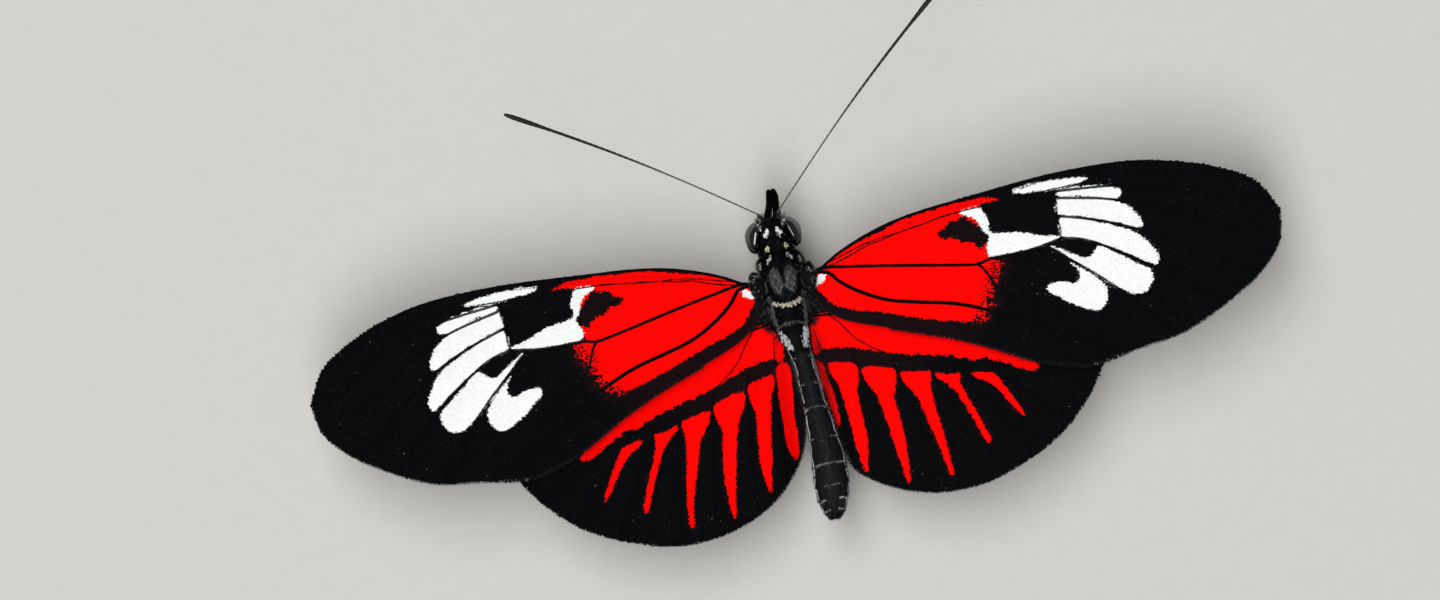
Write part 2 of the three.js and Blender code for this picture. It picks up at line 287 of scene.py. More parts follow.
@dataclass
class Shape:
    """Points, the faces that join them, and each point's dyes and place on the baking map."""

    points: Array
    quads: Index = field(default_factory=lambda: np.zeros((0, 4), int))
    triangles: Index = field(default_factory=lambda: np.zeros((0, 3), int))
    dyes: Dyes = field(default_factory=dict)
    patch: Array | None = None

    def mirrored(self, side: Side) -> "Shape":
        """The shape on the given side, its X turned over for the left."""
        points = self.points * np.array([side.value, 1.0, 1.0])
        return Shape(points, self.quads, self.triangles, self.dyes, self.patch)

    def volume(self) -> float:
        """The volume that the faces close: the sum over the faces of the tetrahedra to the middle.

        Returns:
            The volume, below 0 if the faces look inwards.
        """
        corners = np.concatenate([self.triangles, self.quads[:, [0, 1, 2]], self.quads[:, [0, 2, 3]]])
        a, b, c = (self.points[corners[:, i]] - self.points.mean(axis=0) for i in range(3))
        return float(np.einsum("ij,ij->i", a, np.cross(b, c)).sum() / 6)

    def piece(self, name: str, finish: bpy.types.Material, slot: str, nodes: tuple[str, ...],
              smooth: bool = True) -> bpy.types.Object:
        """Makes the shape a mesh in the frame, which rides on the body and stands for CAD nodes.

        Args:
            name: The new piece's name.
            finish: Its material.
            slot: The record's slot that the finish belongs to. It is not used.
            nodes: The CAD nodes that it stands for.
            smooth: True for rounded shading, False for flat faces.

        Returns:
            The object.
        """
        turned = slice(None, None, -1 if self.volume() < 0 else 1)
        corners = np.concatenate([self.quads[:, turned].ravel(), self.triangles[:, turned].ravel()])
        starts = np.concatenate([
            np.arange(len(self.quads)) * 4,
            4 * len(self.quads) + np.arange(len(self.triangles)) * 3,
        ])
        mesh = bpy.data.meshes.new(name)
        mesh.vertices.add(len(self.points))
        mesh.vertices.foreach_set("co", (self.points * MM + ORIGIN).astype(np.float32).ravel())
        mesh.loops.add(len(corners))
        mesh.loops.foreach_set("vertex_index", corners.astype(np.int32))
        mesh.polygons.add(len(starts))
        mesh.polygons.foreach_set("loop_start", starts.astype(np.int32))
        mesh.polygons.foreach_set("use_smooth", np.full(len(starts), smooth))
        for dye, values in self.dyes.items():
            mesh.attributes.new(dye, "FLOAT", "POINT").data.foreach_set("value", values.astype(np.float32))
        if self.patch is not None:
            uv = mesh.uv_layers.new(name="OFBake")
            uv.data.foreach_set("uv", self.patch[corners].astype(np.float32).ravel())
        mesh.update(calc_edges=True)
        mesh.materials.append(finish)
        made = bpy.data.objects.new(name, mesh)
        bpy.context.scene.collection.objects.link(made)
        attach(made, ROOT)
        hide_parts(*nodes)
        log.info("%s: %d triangles", name, 2 * len(self.quads) + len(self.triangles))
        return made


def joined(shapes: list[Shape]) -> Shape:
    """Several shapes as one: their points in a row, with their faces counted on.

    Args:
        shapes: The shapes, with the same dyes.

    Returns:
        The one shape, with places on the baking map if all have them.
    """
    offsets = np.cumsum([0] + [len(shape.points) for shape in shapes[:-1]])
    keys = shapes[0].dyes.keys()
    mapped = all(shape.patch is not None for shape in shapes)
    return Shape(
        np.concatenate([shape.points for shape in shapes]),
        np.concatenate([shape.quads + offset for shape, offset in zip(shapes, offsets)]),
        np.concatenate([shape.triangles + offset for shape, offset in zip(shapes, offsets)]),
        {key: np.concatenate([shape.dyes[key] for shape in shapes]) for key in keys},
        np.concatenate([shape.patch for shape in shapes]) if mapped else None,
    )


def loft(rings: Array) -> Shape:
    """Skins rings of points in order, and closes each end at the middle of its ring.

    Args:
        rings: The rings, as an array of ring, point on it, and X, Y and Z.

    Returns:
        The closed shape. Its last two points are the two ends.
    """
    count, sides = rings.shape[:2]
    index = np.arange(count * sides).reshape(count, sides)
    beside = np.roll(index, -1, axis=1)
    walls = np.stack([index[:-1], beside[:-1], beside[1:], index[1:]], axis=-1).reshape(-1, 4)
    ends = np.full((2, sides), count * sides) + [[0], [1]]
    first = np.stack([ends[0], beside[0], index[0]], axis=-1)
    last = np.stack([ends[1], index[-1], beside[-1]], axis=-1)
    points = np.concatenate([rings.reshape(-1, 3), rings[[0, -1]].mean(axis=1)])
    return Shape(points, walls, np.concatenate([first, last]))


def tube(path: Array, half_width: Array, half_depth: Array, sides: int,
         up: tuple[float, float, float] = (0.0, 0.0, 1.0)) -> Shape:
    """A closed tube: an ellipse carried along a path, square to it.

    Args:
        path: The path's spots.
        half_width: The ellipse's half axis across, at each spot.
        half_depth: Its half axis upwards.
        sides: How many points the ellipse has.
        up: Roughly which way up is.

    Returns:
        The closed shape.
    """
    ahead = unit(np.gradient(path, axis=0))
    across = unit(np.cross(ahead, np.array(up)))
    over = np.cross(across, ahead)
    turn = np.linspace(0.0, 2 * math.pi, sides, endpoint=False)[None, :, None]
    wide = across[:, None] * np.broadcast_to(half_width, len(path))[:, None, None]
    deep = over[:, None] * np.broadcast_to(half_depth, len(path))[:, None, None]
    return loft(path[:, None] + np.cos(turn) * wide + np.sin(turn) * deep)


def slab(top: Array, bottom: Array) -> Shape:
    """Two grids of points, one over the other, closed by a rim into one thin body.

    Args:
        top: The upper grid, as an array of row, column, and X, Y and Z.
        bottom: The lower grid.

    Returns:
        The closed shape.
    """
    rows, columns = top.shape[:2]
    index = np.arange(rows * columns).reshape(rows, columns)
    corners = [index[:-1, :-1], index[1:, :-1], index[1:, 1:], index[:-1, 1:]]
    sheet = np.stack(corners, axis=-1).reshape(-1, 4)
    edge = np.concatenate([index[0, :-1], index[:-1, -1], index[-1, :0:-1], index[:0:-1, 0]])
    beside = np.roll(edge, -1)
    lower = rows * columns
    rim = np.stack([edge, beside, beside + lower, edge + lower], axis=-1)
    points = np.concatenate([top.reshape(-1, 3), bottom.reshape(-1, 3)])
    return Shape(points, np.concatenate([sheet, sheet[:, ::-1] + lower, rim]))


def even(values: float | Array, count: int) -> Array:
    """A number for each of count points, from one number or an array."""
    return np.broadcast_to(np.asarray(values, float), (count,))


def dyed(count: int, **dyes: float | Array) -> Dyes:
    """The dyes of count points, each from one number or an array."""
    return {key: even(values, count) for key, values in dyes.items()}


def along_surface(way: Array, normal: Array) -> Array:
    """The ways laid flat on a surface: each less its share along the normal, brought to length 1."""
    return unit(way - normal * (way * normal).sum(-1, keepdims=True))


def plan_place(x: Array, y: Array) -> Array:
    """The places on the baking map of spots in plan."""
    return np.column_stack([x, y + MAP_BACK]) / MAP_SPAN


def tufts(points: Array, faces: Index, spread: Array, place: Array, dyes: Dyes) -> Shape:
    """Many tufts of one build as a shape.

    Args:
        points: The points, as an array of tuft, point on it, and X, Y and Z.
        faces: The triangles of one tuft.
        spread: Where its points lie round its place on the baking map, in widths of its patch.
        place: Each tuft's place on the baking map.
        dyes: Each tuft's dyes.

    Returns:
        All the tufts as one shape.
    """
    count, each = points.shape[:2]
    triangles = (faces[None] + each * np.arange(count)[:, None, None]).reshape(-1, 3)
    patch = (place[:, None] + PATCH * spread[None]).reshape(-1, 2)
    dyes = {name: np.repeat(dye, each) for name, dye in dyes.items()}
    return Shape(points.reshape(-1, 3), triangles=triangles, dyes=dyes, patch=patch)


def shingles(root: Array, ahead: Array, normal: Array, length: float | Array, width: float | Array,
             lift: float, place: Array, dyes: Dyes) -> Shape:
    """Flat scales that lie like tiles: each is a paddle outline of five points, over one point under
    its middle that closes it. Along it the outline rises by lift times its length.

    Args:
        root: The foot of each scale.
        ahead: The way it points, along the surface, as unit vectors.
        normal: The surface's outward direction there.
        length: Its length.
        width: Its greatest width.
        lift: How far its tip stands off, as a share of its length.
        place: Its place on the baking map.
        dyes: Its dyes.

    Returns:
        All the scales as one shape.
    """
    count = len(root)
    along = np.array([0.0, 0.55, 1.0, 1.0, 0.55])
    side = np.array([0.0, -0.5, -0.3, 0.3, 0.5])
    long, wide = even(length, count)[:, None], even(width, count)[:, None]
    across = np.cross(normal, ahead)
    top = root[:, None] + ahead[:, None] * (long * along)[..., None]
    top = top + across[:, None] * (wide * side)[..., None]
    top = top + normal[:, None] * (lift * long * along)[..., None]
    middle, thickness = 0.55, 0.09
    under = root + (ahead + normal * (lift - thickness)) * long * middle
    faces = np.array([[0, 1, 2], [0, 2, 3], [0, 3, 4],
                      [5, 1, 0], [5, 2, 1], [5, 3, 2], [5, 4, 3], [5, 0, 4]])
    spread = np.column_stack([np.append(along - 0.5, 0.05), np.append(side, 0.0)])
    return tufts(np.concatenate([top, under[:, None]], axis=1), faces, spread, place, dyes)


def bristles(root: Array, ahead: Array, bend: Array, length: float | Array, radius: float | Array,
             place: Array, dyes: Dyes) -> Shape:
    """Hairs as curved three-sided spikes: a ring of three points at the foot, a smaller ring half way,
    pushed a little along the bend, and a tip pushed further.

    Args:
        root: The foot of each hair.
        ahead: The way it starts out, as unit vectors.
        bend: The way it bends, as vectors in shares of its length.
        length: Its length.
        radius: Its radius at the foot.
        place: Its place on the baking map.
        dyes: Its dyes.

    Returns:
        All the hairs as one shape.
    """
    count = len(root)
    long, thick = even(length, count)[:, None, None], even(radius, count)[:, None, None]
    helper = np.where(np.abs(ahead[:, 2:3]) > 0.8, [[1.0, 0.0, 0.0]], [[0.0, 0.0, 1.0]])
    across = unit(np.cross(ahead, helper))
    over = np.cross(across, ahead)
    turn = np.arange(3) * 2 * math.pi / 3
    ring = across[:, None] * np.cos(turn)[:, None] + over[:, None] * np.sin(turn)[:, None]
    foot = root[:, None] + thick * ring
    middle = root[:, None] + long * (0.5 * ahead + 0.12 * bend)[:, None] + 0.75 * thick * ring
    tip = root[:, None] + long * (ahead + 0.5 * bend)[:, None]
    faces = np.array([[2, 1, 0], [0, 1, 4], [0, 4, 3], [1, 2, 5], [1, 5, 4], [2, 0, 3], [2, 3, 5],
                      [3, 4, 6], [4, 5, 6], [5, 3, 6]])
    rays = np.column_stack([np.cos(turn), np.sin(turn)])
    spread = np.concatenate([0.25 * rays, 0.5 * rays, [[0.0, 0.0]]])
    return tufts(np.concatenate([foot, middle, tip], axis=1), faces, spread, place, dyes)


COLOURS = {"data_type": "RGBA"}


def add(tree: bpy.types.NodeTree, kind: str, settings: dict | None = None,
        inputs: dict | None = None) -> bpy.types.Node:
    """Adds a node.

    Args:
        tree: The node tree that it goes into.
        kind: The node's type.
        settings: Its properties.
        inputs: Its inputs by name or number, each a value, or another node's output to link.

    Returns:
        The node.
    """
    made = tree.nodes.new(kind)
    for key, value in (settings or {}).items():
        setattr(made, key, value)
    for key, value in (inputs or {}).items():
        if isinstance(value, bpy.types.NodeSocket):
            tree.links.new(value, made.inputs[key])
        else:
            made.inputs[key].default_value = value
    return made


def blank_material(name: str, roughness: float, specular: float, ior: float
                   ) -> tuple[bpy.types.Material, bpy.types.NodeTree, bpy.types.Node]:
    """A new material with one Principled shader.

    Args:
        name: The material's name.
        roughness: The shader's roughness.
        specular: Its specular level.
        ior: Its index of refraction.

    Returns:
        The material, its node tree and the shader.
    """
    material = bpy.data.materials.new(name)
    material.use_nodes = True
    tree = material.node_tree
    tree.nodes.clear()
    shader = add(tree, "ShaderNodeBsdfPrincipled",
                 inputs={"Roughness": roughness, "Specular IOR Level": specular, "IOR": ior})
    add(tree, "ShaderNodeOutputMaterial", inputs={"Surface": shader.outputs["BSDF"]})
    return material, tree, shader


@dataclass(frozen=True)
class Layer:
    """A colour that a dye of the markings lays over those below, and the dye that mixes its two tones."""

    dye: str
    tones: tuple[str, str]
    by: str = "tone"


@dataclass(frozen=True)
class Chitin:
    """Chitin with black melanin, as scales, hair or bare cuticle: a near black, with pigments over it where
    the dyes say so. Every tuft has a tone of its own, which fine grain varies."""

    name: str
    black: tuple[str, str]
    layers: tuple[Layer, ...]
    roughness: float
    specular: float
    grain: float
    grain_detail: float
    grain_roughness: float
    grain_share: float
    bump: float = 0.0
    bump_depth: float = 0.03
    ior: float = 1.56

    def material(self) -> bpy.types.Material:
        """Makes the finish.

        Returns:
            The material.
        """
        material, tree, shader = blank_material(self.name, self.roughness, self.specular, self.ior)
        names = dict.fromkeys(["tone", *(name for layer in self.layers for name in (layer.dye, layer.by))])
        dyes = {name: add(tree, "ShaderNodeAttribute", {"attribute_name": name}).outputs["Fac"]
                for name in names}
        spot = add(tree, "ShaderNodeTexCoord").outputs["Object"]
        noise = {"Vector": spot, "Scale": 1 / (self.grain * MM), "Detail": self.grain_detail,
                 "Roughness": self.grain_roughness}
        grain = add(tree, "ShaderNodeTexNoise", inputs=noise).outputs["Fac"]
        dyes["tone"] = add(tree, "ShaderNodeMix", {"data_type": "FLOAT"},
                           {0: self.grain_share, 2: dyes["tone"], 3: grain}).outputs[0]
        dark, light = (linear(tone) for tone in self.black)
        colour = add(tree, "ShaderNodeMix", COLOURS, {0: dyes["tone"], 6: dark, 7: light}).outputs[2]
        for layer in self.layers:
            dark, light = (linear(tone) for tone in layer.tones)
            shade = add(tree, "ShaderNodeMix", COLOURS, {0: dyes[layer.by], 6: dark, 7: light}).outputs[2]
            both = {0: dyes[layer.dye], 6: colour, 7: shade}
            colour = add(tree, "ShaderNodeMix", COLOURS, both).outputs[2]
        tree.links.new(colour, shader.inputs["Base Color"])
        if self.bump:
            relief = {"Strength": self.bump, "Distance": self.bump_depth * MM, "Height": grain}
            bump = add(tree, "ShaderNodeBump", inputs=relief)
            tree.links.new(bump.outputs["Normal"], shader.inputs["Normal"])
        return material


def wing_finish(name: str, black: tuple[str, str], red: tuple[str, str], white: tuple[str, str],
                roughness: float, specular: float) -> Chitin:
    """The finish of a wing's scales, veins or membrane, which hardly shines. Red is a strong ommochrome,
    brown is melanin alone and thin, and also stands for painted shade in the hindwing's fold, and white
    scales hold no pigment and scatter all light.

    Args:
        name: The finish's name.
        black: The two tones of black.
        red: The two tones of red.
        white: The two tones of white.
        roughness: Its roughness.
        specular: Its specular level.

    Returns:
        The finish. Real scales have ridges 0.002 mm apart, which can't show, so its grain is drawn at 0.12
        mm.
    """
    # Brown is thin melanin, and on the hindwing's inner ray it is also painted shade
    layers = (Layer("red", red), Layer("brown", ("#1C0B0E", "#1C0B0E")), Layer("white", white))
    return Chitin(name, black, layers, roughness, specular, 0.12, 2.0, 0.6, 0.35)


def body_finish(name: str, black: tuple[str, str], white: str, cream: str, roughness: float, specular: float,
                bump: float = 0.0) -> Chitin:
    """The finish of the body and limbs: black with a satin gloss, brushed with grey, white or cream.

    Args:
        name: The finish's name.
        black: The two tones of black.
        white: The colour where it is pale.
        cream: The colour where it is pale and cream.
        roughness: Its roughness.
        specular: Its specular level.
        bump: How strongly its grain stands out.

    Returns:
        The finish. Real body scales and hairs are about 0.1 mm across, and so is its grain.
    """
    return Chitin(name, black, (Layer("pale", (white, cream), "cream"),), roughness, specular,
                  0.1, 3.0, 0.55, 0.5, bump)


@dataclass(frozen=True)
class EyeFinish:
    """A compound eye: clear chitin lenses over dark pigment, so near black with a wet gloss. The lenses are
    layered, so they reflect more than plain chitin does."""

    name: str = "compound eye cornea"
    deep: str = "#010101"
    rim: str = "#060404"
    roughness: float = 0.1
    ior: float = 2.0
    # Real lenses are 0.02 mm across, and are drawn at 0.05 mm so that they just show close up
    lens: float = 0.05

    def material(self) -> bpy.types.Material:
        """Makes the finish, with the lenses as a fine raised net.

        Returns:
            The material.
        """
        material, tree, shader = blank_material(self.name, self.roughness, 0.5, self.ior)
        spot = add(tree, "ShaderNodeTexCoord").outputs["Object"]
        cells = add(tree, "ShaderNodeTexVoronoi", {"feature": "F1"},
                    {"Vector": spot, "Scale": 1 / (self.lens * MM), "Randomness": 0.25})
        clouds = add(tree, "ShaderNodeTexNoise", inputs={"Vector": spot, "Scale": 1 / (0.8 * MM)})
        colour = add(tree, "ShaderNodeMix", COLOURS,
                     {0: clouds.outputs["Fac"], 6: linear(self.deep), 7: linear(self.rim)}).outputs[2]
        relief = add(tree, "ShaderNodeBump", {"invert": True},
                     {"Strength": 0.08, "Distance": 0.01 * MM, "Height": cells.outputs["Distance"]})
        tree.links.new(colour, shader.inputs["Base Color"])
        tree.links.new(relief.outputs["Normal"], shader.inputs["Normal"])
        return material


@dataclass(frozen=True)
class PaperFinish:
    """Matt card on the display table: pale, even, with a faint tooth and no shine."""

    name: str = "matt pale card"
    light: str = "#C5C3BF"
    dark: str = "#C0BEBA"
    tooth: float = 1.5

    def material(self) -> bpy.types.Material:
        """Makes the finish, with its tooth as soft mottling.

        Returns:
            The material.
        """
        material, tree, shader = blank_material(self.name, 0.95, 0.1, 1.5)
        spot = add(tree, "ShaderNodeTexCoord").outputs["Object"]
        mottle = add(tree, "ShaderNodeTexNoise", inputs={"Vector": spot, "Scale": 1 / (self.tooth * MM)})
        colour = add(tree, "ShaderNodeMix", COLOURS,
                     {0: mottle.outputs["Fac"], 6: linear(self.dark), 7: linear(self.light)}).outputs[2]
        tree.links.new(colour, shader.inputs["Base Color"])
        return material


FINISHES = {
    "upper": wing_finish("wing scales of the upper side", ("#020203", "#090A0D"), ("#F00000", "#FF0300"),
                         ("#E2E4E3", "#F4F6F3"), 0.85, 0.03),
    "lower": wing_finish("wing scales of the underside", ("#15120F", "#2A231D"), ("#6E1E16", "#8C3222"),
                         ("#CFC6B4", "#E6DECC"), 0.8, 0.12),
    "membrane": wing_finish("wing membrane of thin chitin", ("#060609", "#0E0E12"), ("#C80202", "#E00404"),
                            ("#D8D9D6", "#E6E7E5"), 0.6, 0.06),
    "veins": wing_finish("wing veins of hard chitin", ("#030305", "#08080B"), ("#8E0606", "#A80A08"),
                         ("#9A9C9C", "#B4B6B6"), 0.8, 0.03),
    "skin": body_finish("body cuticle", ("#020203", "#08080A"), "#B9BABC", "#CFC8AA", 0.45, 0.12, 0.4),
    "body scales": body_finish("body scales", ("#020203", "#080A10"), "#F2F3F5", "#EAE2BE", 0.6, 0.04),
    "pile": body_finish("body pile of fine hair", ("#010102", "#08090B"), "#FAFBFC", "#F0E8C4", 0.6, 0.04),
    "horn": body_finish("cuticle of the antennae", ("#070708", "#121113"), "#8F8C86", "#9A8C70", 0.5, 0.2,
                        0.3),
    "leg scales": body_finish("leg scales", ("#08080A", "#1B1B1E"), "#C9C5BA", "#D8CDA8", 0.65, 0.15),
    "limb": body_finish("cuticle of the legs", ("#080808", "#171516"), "#BDB9AE", "#CFC39E", 0.5, 0.25, 0.5),
    "eye": EyeFinish(),
    "card": PaperFinish(),
}


@dataclass(frozen=True)
class Vein:
    """A vein in plan, its radius at its two ends, and how far dark scales lie beside its middle, which is 0
    for a vein that the wing's own scales cover."""

    points: tuple[tuple[float, float], ...]
    radius: tuple[float, float] = (0.14, 0.1)
    dark: float = 0.07

    def path(self, count: int | None = None) -> Array:
        """The vein's line in plan.

        Args:
            count: How many spots to return, or None for spots about 0.5 mm apart.

        Returns:
            The spots.
        """
        rows = np.array(self.points)
        reach = np.linalg.norm(np.diff(rows, axis=0), axis=1).sum()
        return smooth_path(rows, count or max(6, int(reach / 0.5)))


@dataclass(frozen=True)
class Patch:
    """A coloured patch in plan. Its edge wanders by ragged, and its scales mix with the others within soft
    of it."""

    outline: tuple[tuple[float, float], ...]
    ragged: float = 0.03
    soft: float = 0.03

    def cover(self, x: Array, y: Array, stray: Array, softer: float | Array = 0.0) -> Array:
        """How far the patch covers each spot: a soft step of the depth inside its smoothed outline, moved by
        the wandering and by each scale's own stray number.

        Args:
            x: X of the spots.
            y: Y of the spots.
            stray: A number from -1 to 1 of each scale, or 0 for a plain edge.
            softer: What to add to soft at each spot.

        Returns:
            The cover, from 0 to 1.
        """
        outline = smooth_loop(np.array(self.outline), 5 * len(self.outline))
        depth = depth_inside(outline, x, y) + self.ragged * wobble(x, y, 1.1) + (self.soft + softer) * stray
        return smoothstep(depth / (1 + 14 * softer), -0.03, 0.03)


FORE_VEINS = (
    Vein(((1.5, 0.35), (2.4, 0.76), (5.0, 2.24), (9.4, 3.69), (16.0, 4.43), (23.5, 4.88), (29.5, 4.5),
          (34.5, 3.0), (37.45, 1.25)), (0.14, 0.1), 0.07),
    Vein(((2.2, 0.75), (3.6, 1.5), (5.0, 1.92), (6.0, 2.2), (7.0, 2.47), (8.1, 2.66), (9.2, 2.78)),
         (0.08, 0.08), 0.05),
    Vein(((8.0, 2.62), (9.6, 3.1), (11.6, 3.55), (15.0, 3.85), (18.5, 4.15), (23.0, 4.72)), (0.08, 0.1),
         0.0),
    Vein(((2.0, 0.6), (3.3, 1.2), (4.5, 1.45), (5.7, 1.83), (7.0, 2.28), (8.2, 2.5), (10.0, 2.85),
         (11.55, 3.05), (13.5, 3.36), (15.0, 3.48), (17.5, 3.55), (22.5, 3.75), (30.0, 3.6), (35.5, 2.2)),
         (0.1, 0.1), 0.05),
    Vein(((2.0, 0.9), (3.24, 1.24), (5.45, 0.93), (9.35, 0.22), (14.02, -0.69), (15.44, -0.9), (16.45, -0.7),
          (19.71, -0.63), (22.38, -0.21)), (0.16, 0.13), 0.09),
    Vein(((2.6, 1.05), (3.65, 0.82), (4.3, 0.07), (5.12, -0.66), (6.55, -1.6), (8.03, -2.31), (10.33, -2.94),
          (12.65, -3.49), (14.9, -4.35), (25.0, -9.85)), (0.17, 0.12), 0.12),
    Vein(((15.44, -0.9), (15.89, -1.48), (16.74, -3.27), (20.5, -5.8), (24.3, -9.9))),
    Vein(((19.7, -0.6), (21.2, -0.75), (22.75, -2.05), (25.1, -4.15), (27.5, -6.7), (29.7, -9.4))),
    Vein(((22.3, -0.2), (24.0, -0.65), (26.7, -2.2), (29.0, -3.9), (32.0, -6.7), (33.4, -7.8))),
    Vein(((22.3, 1.6), (25.0, 0.75), (28.6, -0.8), (33.5, -4.0), (36.6, -5.85))),
    Vein(((22.4, 3.05), (27.6, 1.75), (34.5, -1.8), (38.5, -3.6))),
    Vein(((22.0, 3.6), (28.0, 2.9), (35.0, 0.9), (38.4, -0.6))),
    Vein(((22.4, 3.5), (22.45, 2.6), (22.3, 1.6), (22.35, 0.6), (22.3, -0.1)), (0.1, 0.1)),
)
RED_BASE = Patch(((2.35, 0.0), (2.83, -0.76), (3.47, -1.62), (4.4, -2.22), (7.06, -3.08), (10.08, -4.18),
                  (12.36, -4.89), (13.92, -5.2), (14.77, -4.97), (15.5, -4.2), (15.9, -3.4), (16.2, -2.3),
                  (16.7, -1.5), (16.9, -0.8), (16.6, -0.3), (16.6, 0.5), (16.35, 1.5), (16.35, 2.5),
                  (16.45, 3.3), (16.6, 3.65), (18.1, 3.82), (17.0, 4.1), (14.99, 4.16), (11.67, 3.92),
                  (9.85, 3.64), (7.9, 3.08), (5.85, 2.5), (4.6, 2.05), (3.4, 1.62), (2.85, 1.2)), 0.04, 0.05)
BLOTCH = Patch(((12.8, 2.0), (13.6, 2.7), (14.4, 2.98), (15.1, 2.95), (15.75, 2.58), (15.95, 2.2),
               (16.55, 1.6), (16.85, 0.85), (16.1, 0.4), (14.9, 0.88), (14.0, 1.38), (13.25, 1.55)),
               0.12, 0.12)
WHITE_SPOTS = (
    Patch(((19.2, 4.25), (20.0, 4.4), (21.2, 4.5), (23.05, 4.42), (24.6, 4.2), (25.2, 4.0), (24.05, 3.75),
           (22.6, 3.66), (21.2, 3.8), (19.7, 3.94))),
    Patch(((22.6, 3.45), (23.7, 3.56), (25.1, 3.46), (26.7, 3.13), (27.65, 2.66), (27.35, 2.05),
          (25.8, 2.34), (24.3, 2.82), (22.7, 3.08))),
    Patch(((22.6, 2.95), (24.5, 2.68), (26.8, 1.98), (28.25, 0.95), (28.75, -0.4), (28.45, -0.62),
          (26.9, 0.1), (25.1, 0.83), (23.0, 1.5), (22.4, 1.75), (22.35, 2.4))),
    Patch(((22.7, 1.45), (24.9, 0.7), (26.7, -0.1), (28.3, -1.05), (29.1, -2.2), (29.5, -3.1), (29.2, -3.75),
           (28.3, -3.2), (26.7, -2.12), (25.1, -1.15), (23.85, -0.58), (22.35, -0.1), (22.25, 0.7))),
    Patch(((21.3, -0.65), (22.3, -1.18), (23.1, -1.72), (23.85, -2.08), (24.55, -1.88), (25.0, -1.35),
           (26.65, -2.45), (28.0, -3.45), (28.65, -4.0), (28.75, -4.7), (28.25, -5.58), (27.3, -5.75),
           (26.1, -5.05), (24.9, -4.05), (23.75, -2.95), (22.6, -1.85))),
    Patch(((22.6, -2.2), (23.5, -2.95), (24.6, -4.0), (25.05, -4.85), (25.0, -5.6), (24.2, -6.38),
          (23.3, -6.15), (22.2, -5.5), (21.1, -4.65), (20.4, -3.95), (20.7, -3.55), (21.7, -3.62),
          (22.65, -3.9), (23.1, -3.6), (23.1, -2.95))),
    Patch(((22.25, -0.08), (20.9, 0.28), (19.0, 0.95), (16.85, 1.42), (16.9, 2.15), (16.7, 2.9),
          (16.45, 3.45), (15.6, 3.55), (14.8, 3.4), (15.75, 2.75), (16.1, 2.2), (16.35, 1.55), (16.7, 1.1),
          (16.3, 0.1), (16.4, -0.45), (17.6, -0.6), (19.6, -0.55), (21.4, -0.4))),
    Patch(((2.05, 0.08), (2.3, 0.36), (2.65, 0.52), (3.0, 0.66), (3.4, 0.76), (3.52, 0.62), (3.3, 0.36),
           (2.85, 0.1), (2.45, -0.04), (2.15, -0.08)), 0.1, 0.1),
)

HIND_VEINS = (
    Vein(((1.3, -1.95), (2.4, -2.1), (7.0, -2.28), (13.0, -3.5), (18.5, -5.2), (22.3, -6.9), (23.9, -8.9)),
         (0.17, 0.09)),
    Vein(((1.6, -2.3), (8.0, -3.2), (14.0, -5.0), (20.0, -8.0), (23.0, -10.95)), (0.13, 0.09)),
    Vein(((2.2, -2.0), (3.0, -2.45), (3.9, -3.5), (4.95, -4.9), (7.5, -6.7), (12.0, -8.5)), (0.1, 0.09),
         0.03),
    Vein(((1.6, -3.2), (2.0, -5.6), (2.6, -9.0), (2.7, -12.0), (2.9, -14.8)), (0.1, 0.08), 0.03),
    Vein(((4.2, -5.9), (4.55, -6.9), (4.9, -9.5), (5.3, -13.0), (5.6, -16.8)), (0.12, 0.08)),
    Vein(((7.3, -7.0), (7.5, -8.0), (8.2, -11.0), (8.8, -14.5), (9.2, -17.8)), (0.12, 0.08)),
    Vein(((9.8, -7.6), (10.2, -8.6), (11.2, -11.5), (12.2, -14.8), (12.8, -17.7)), (0.12, 0.08)),
    Vein(((12.0, -8.4), (12.6, -9.1), (14.2, -11.8), (15.7, -14.3), (16.8, -16.3)), (0.12, 0.08)),
    Vein(((14.6, -8.9), (15.4, -9.7), (17.5, -12.0), (19.3, -14.0), (20.1, -14.7)), (0.12, 0.08)),
    Vein(((12.0, -8.4), (14.6, -8.9), (17.0, -9.4), (20.5, -11.2), (22.3, -12.3)), (0.1, 0.08), 0.0),
)
RED_BAR = Patch(((1.4, -1.95), (2.4, -1.9), (6.8, -3.3), (9.9, -4.35), (12.8, -5.7), (15.2, -6.9),
                (17.0, -8.3), (18.3, -9.3), (18.6, -9.75), (18.25, -10.05), (17.5, -9.82), (16.3, -9.15),
                (14.9, -8.5), (14.1, -8.2), (13.6, -8.3), (12.6, -7.85), (10.3, -7.15), (8.0, -6.65),
                (6.4, -6.1), (4.2, -5.35), (1.95, -5.1), (1.3, -5.3), (1.0, -4.2), (1.0, -3.05)),
                0.09, 0.05)
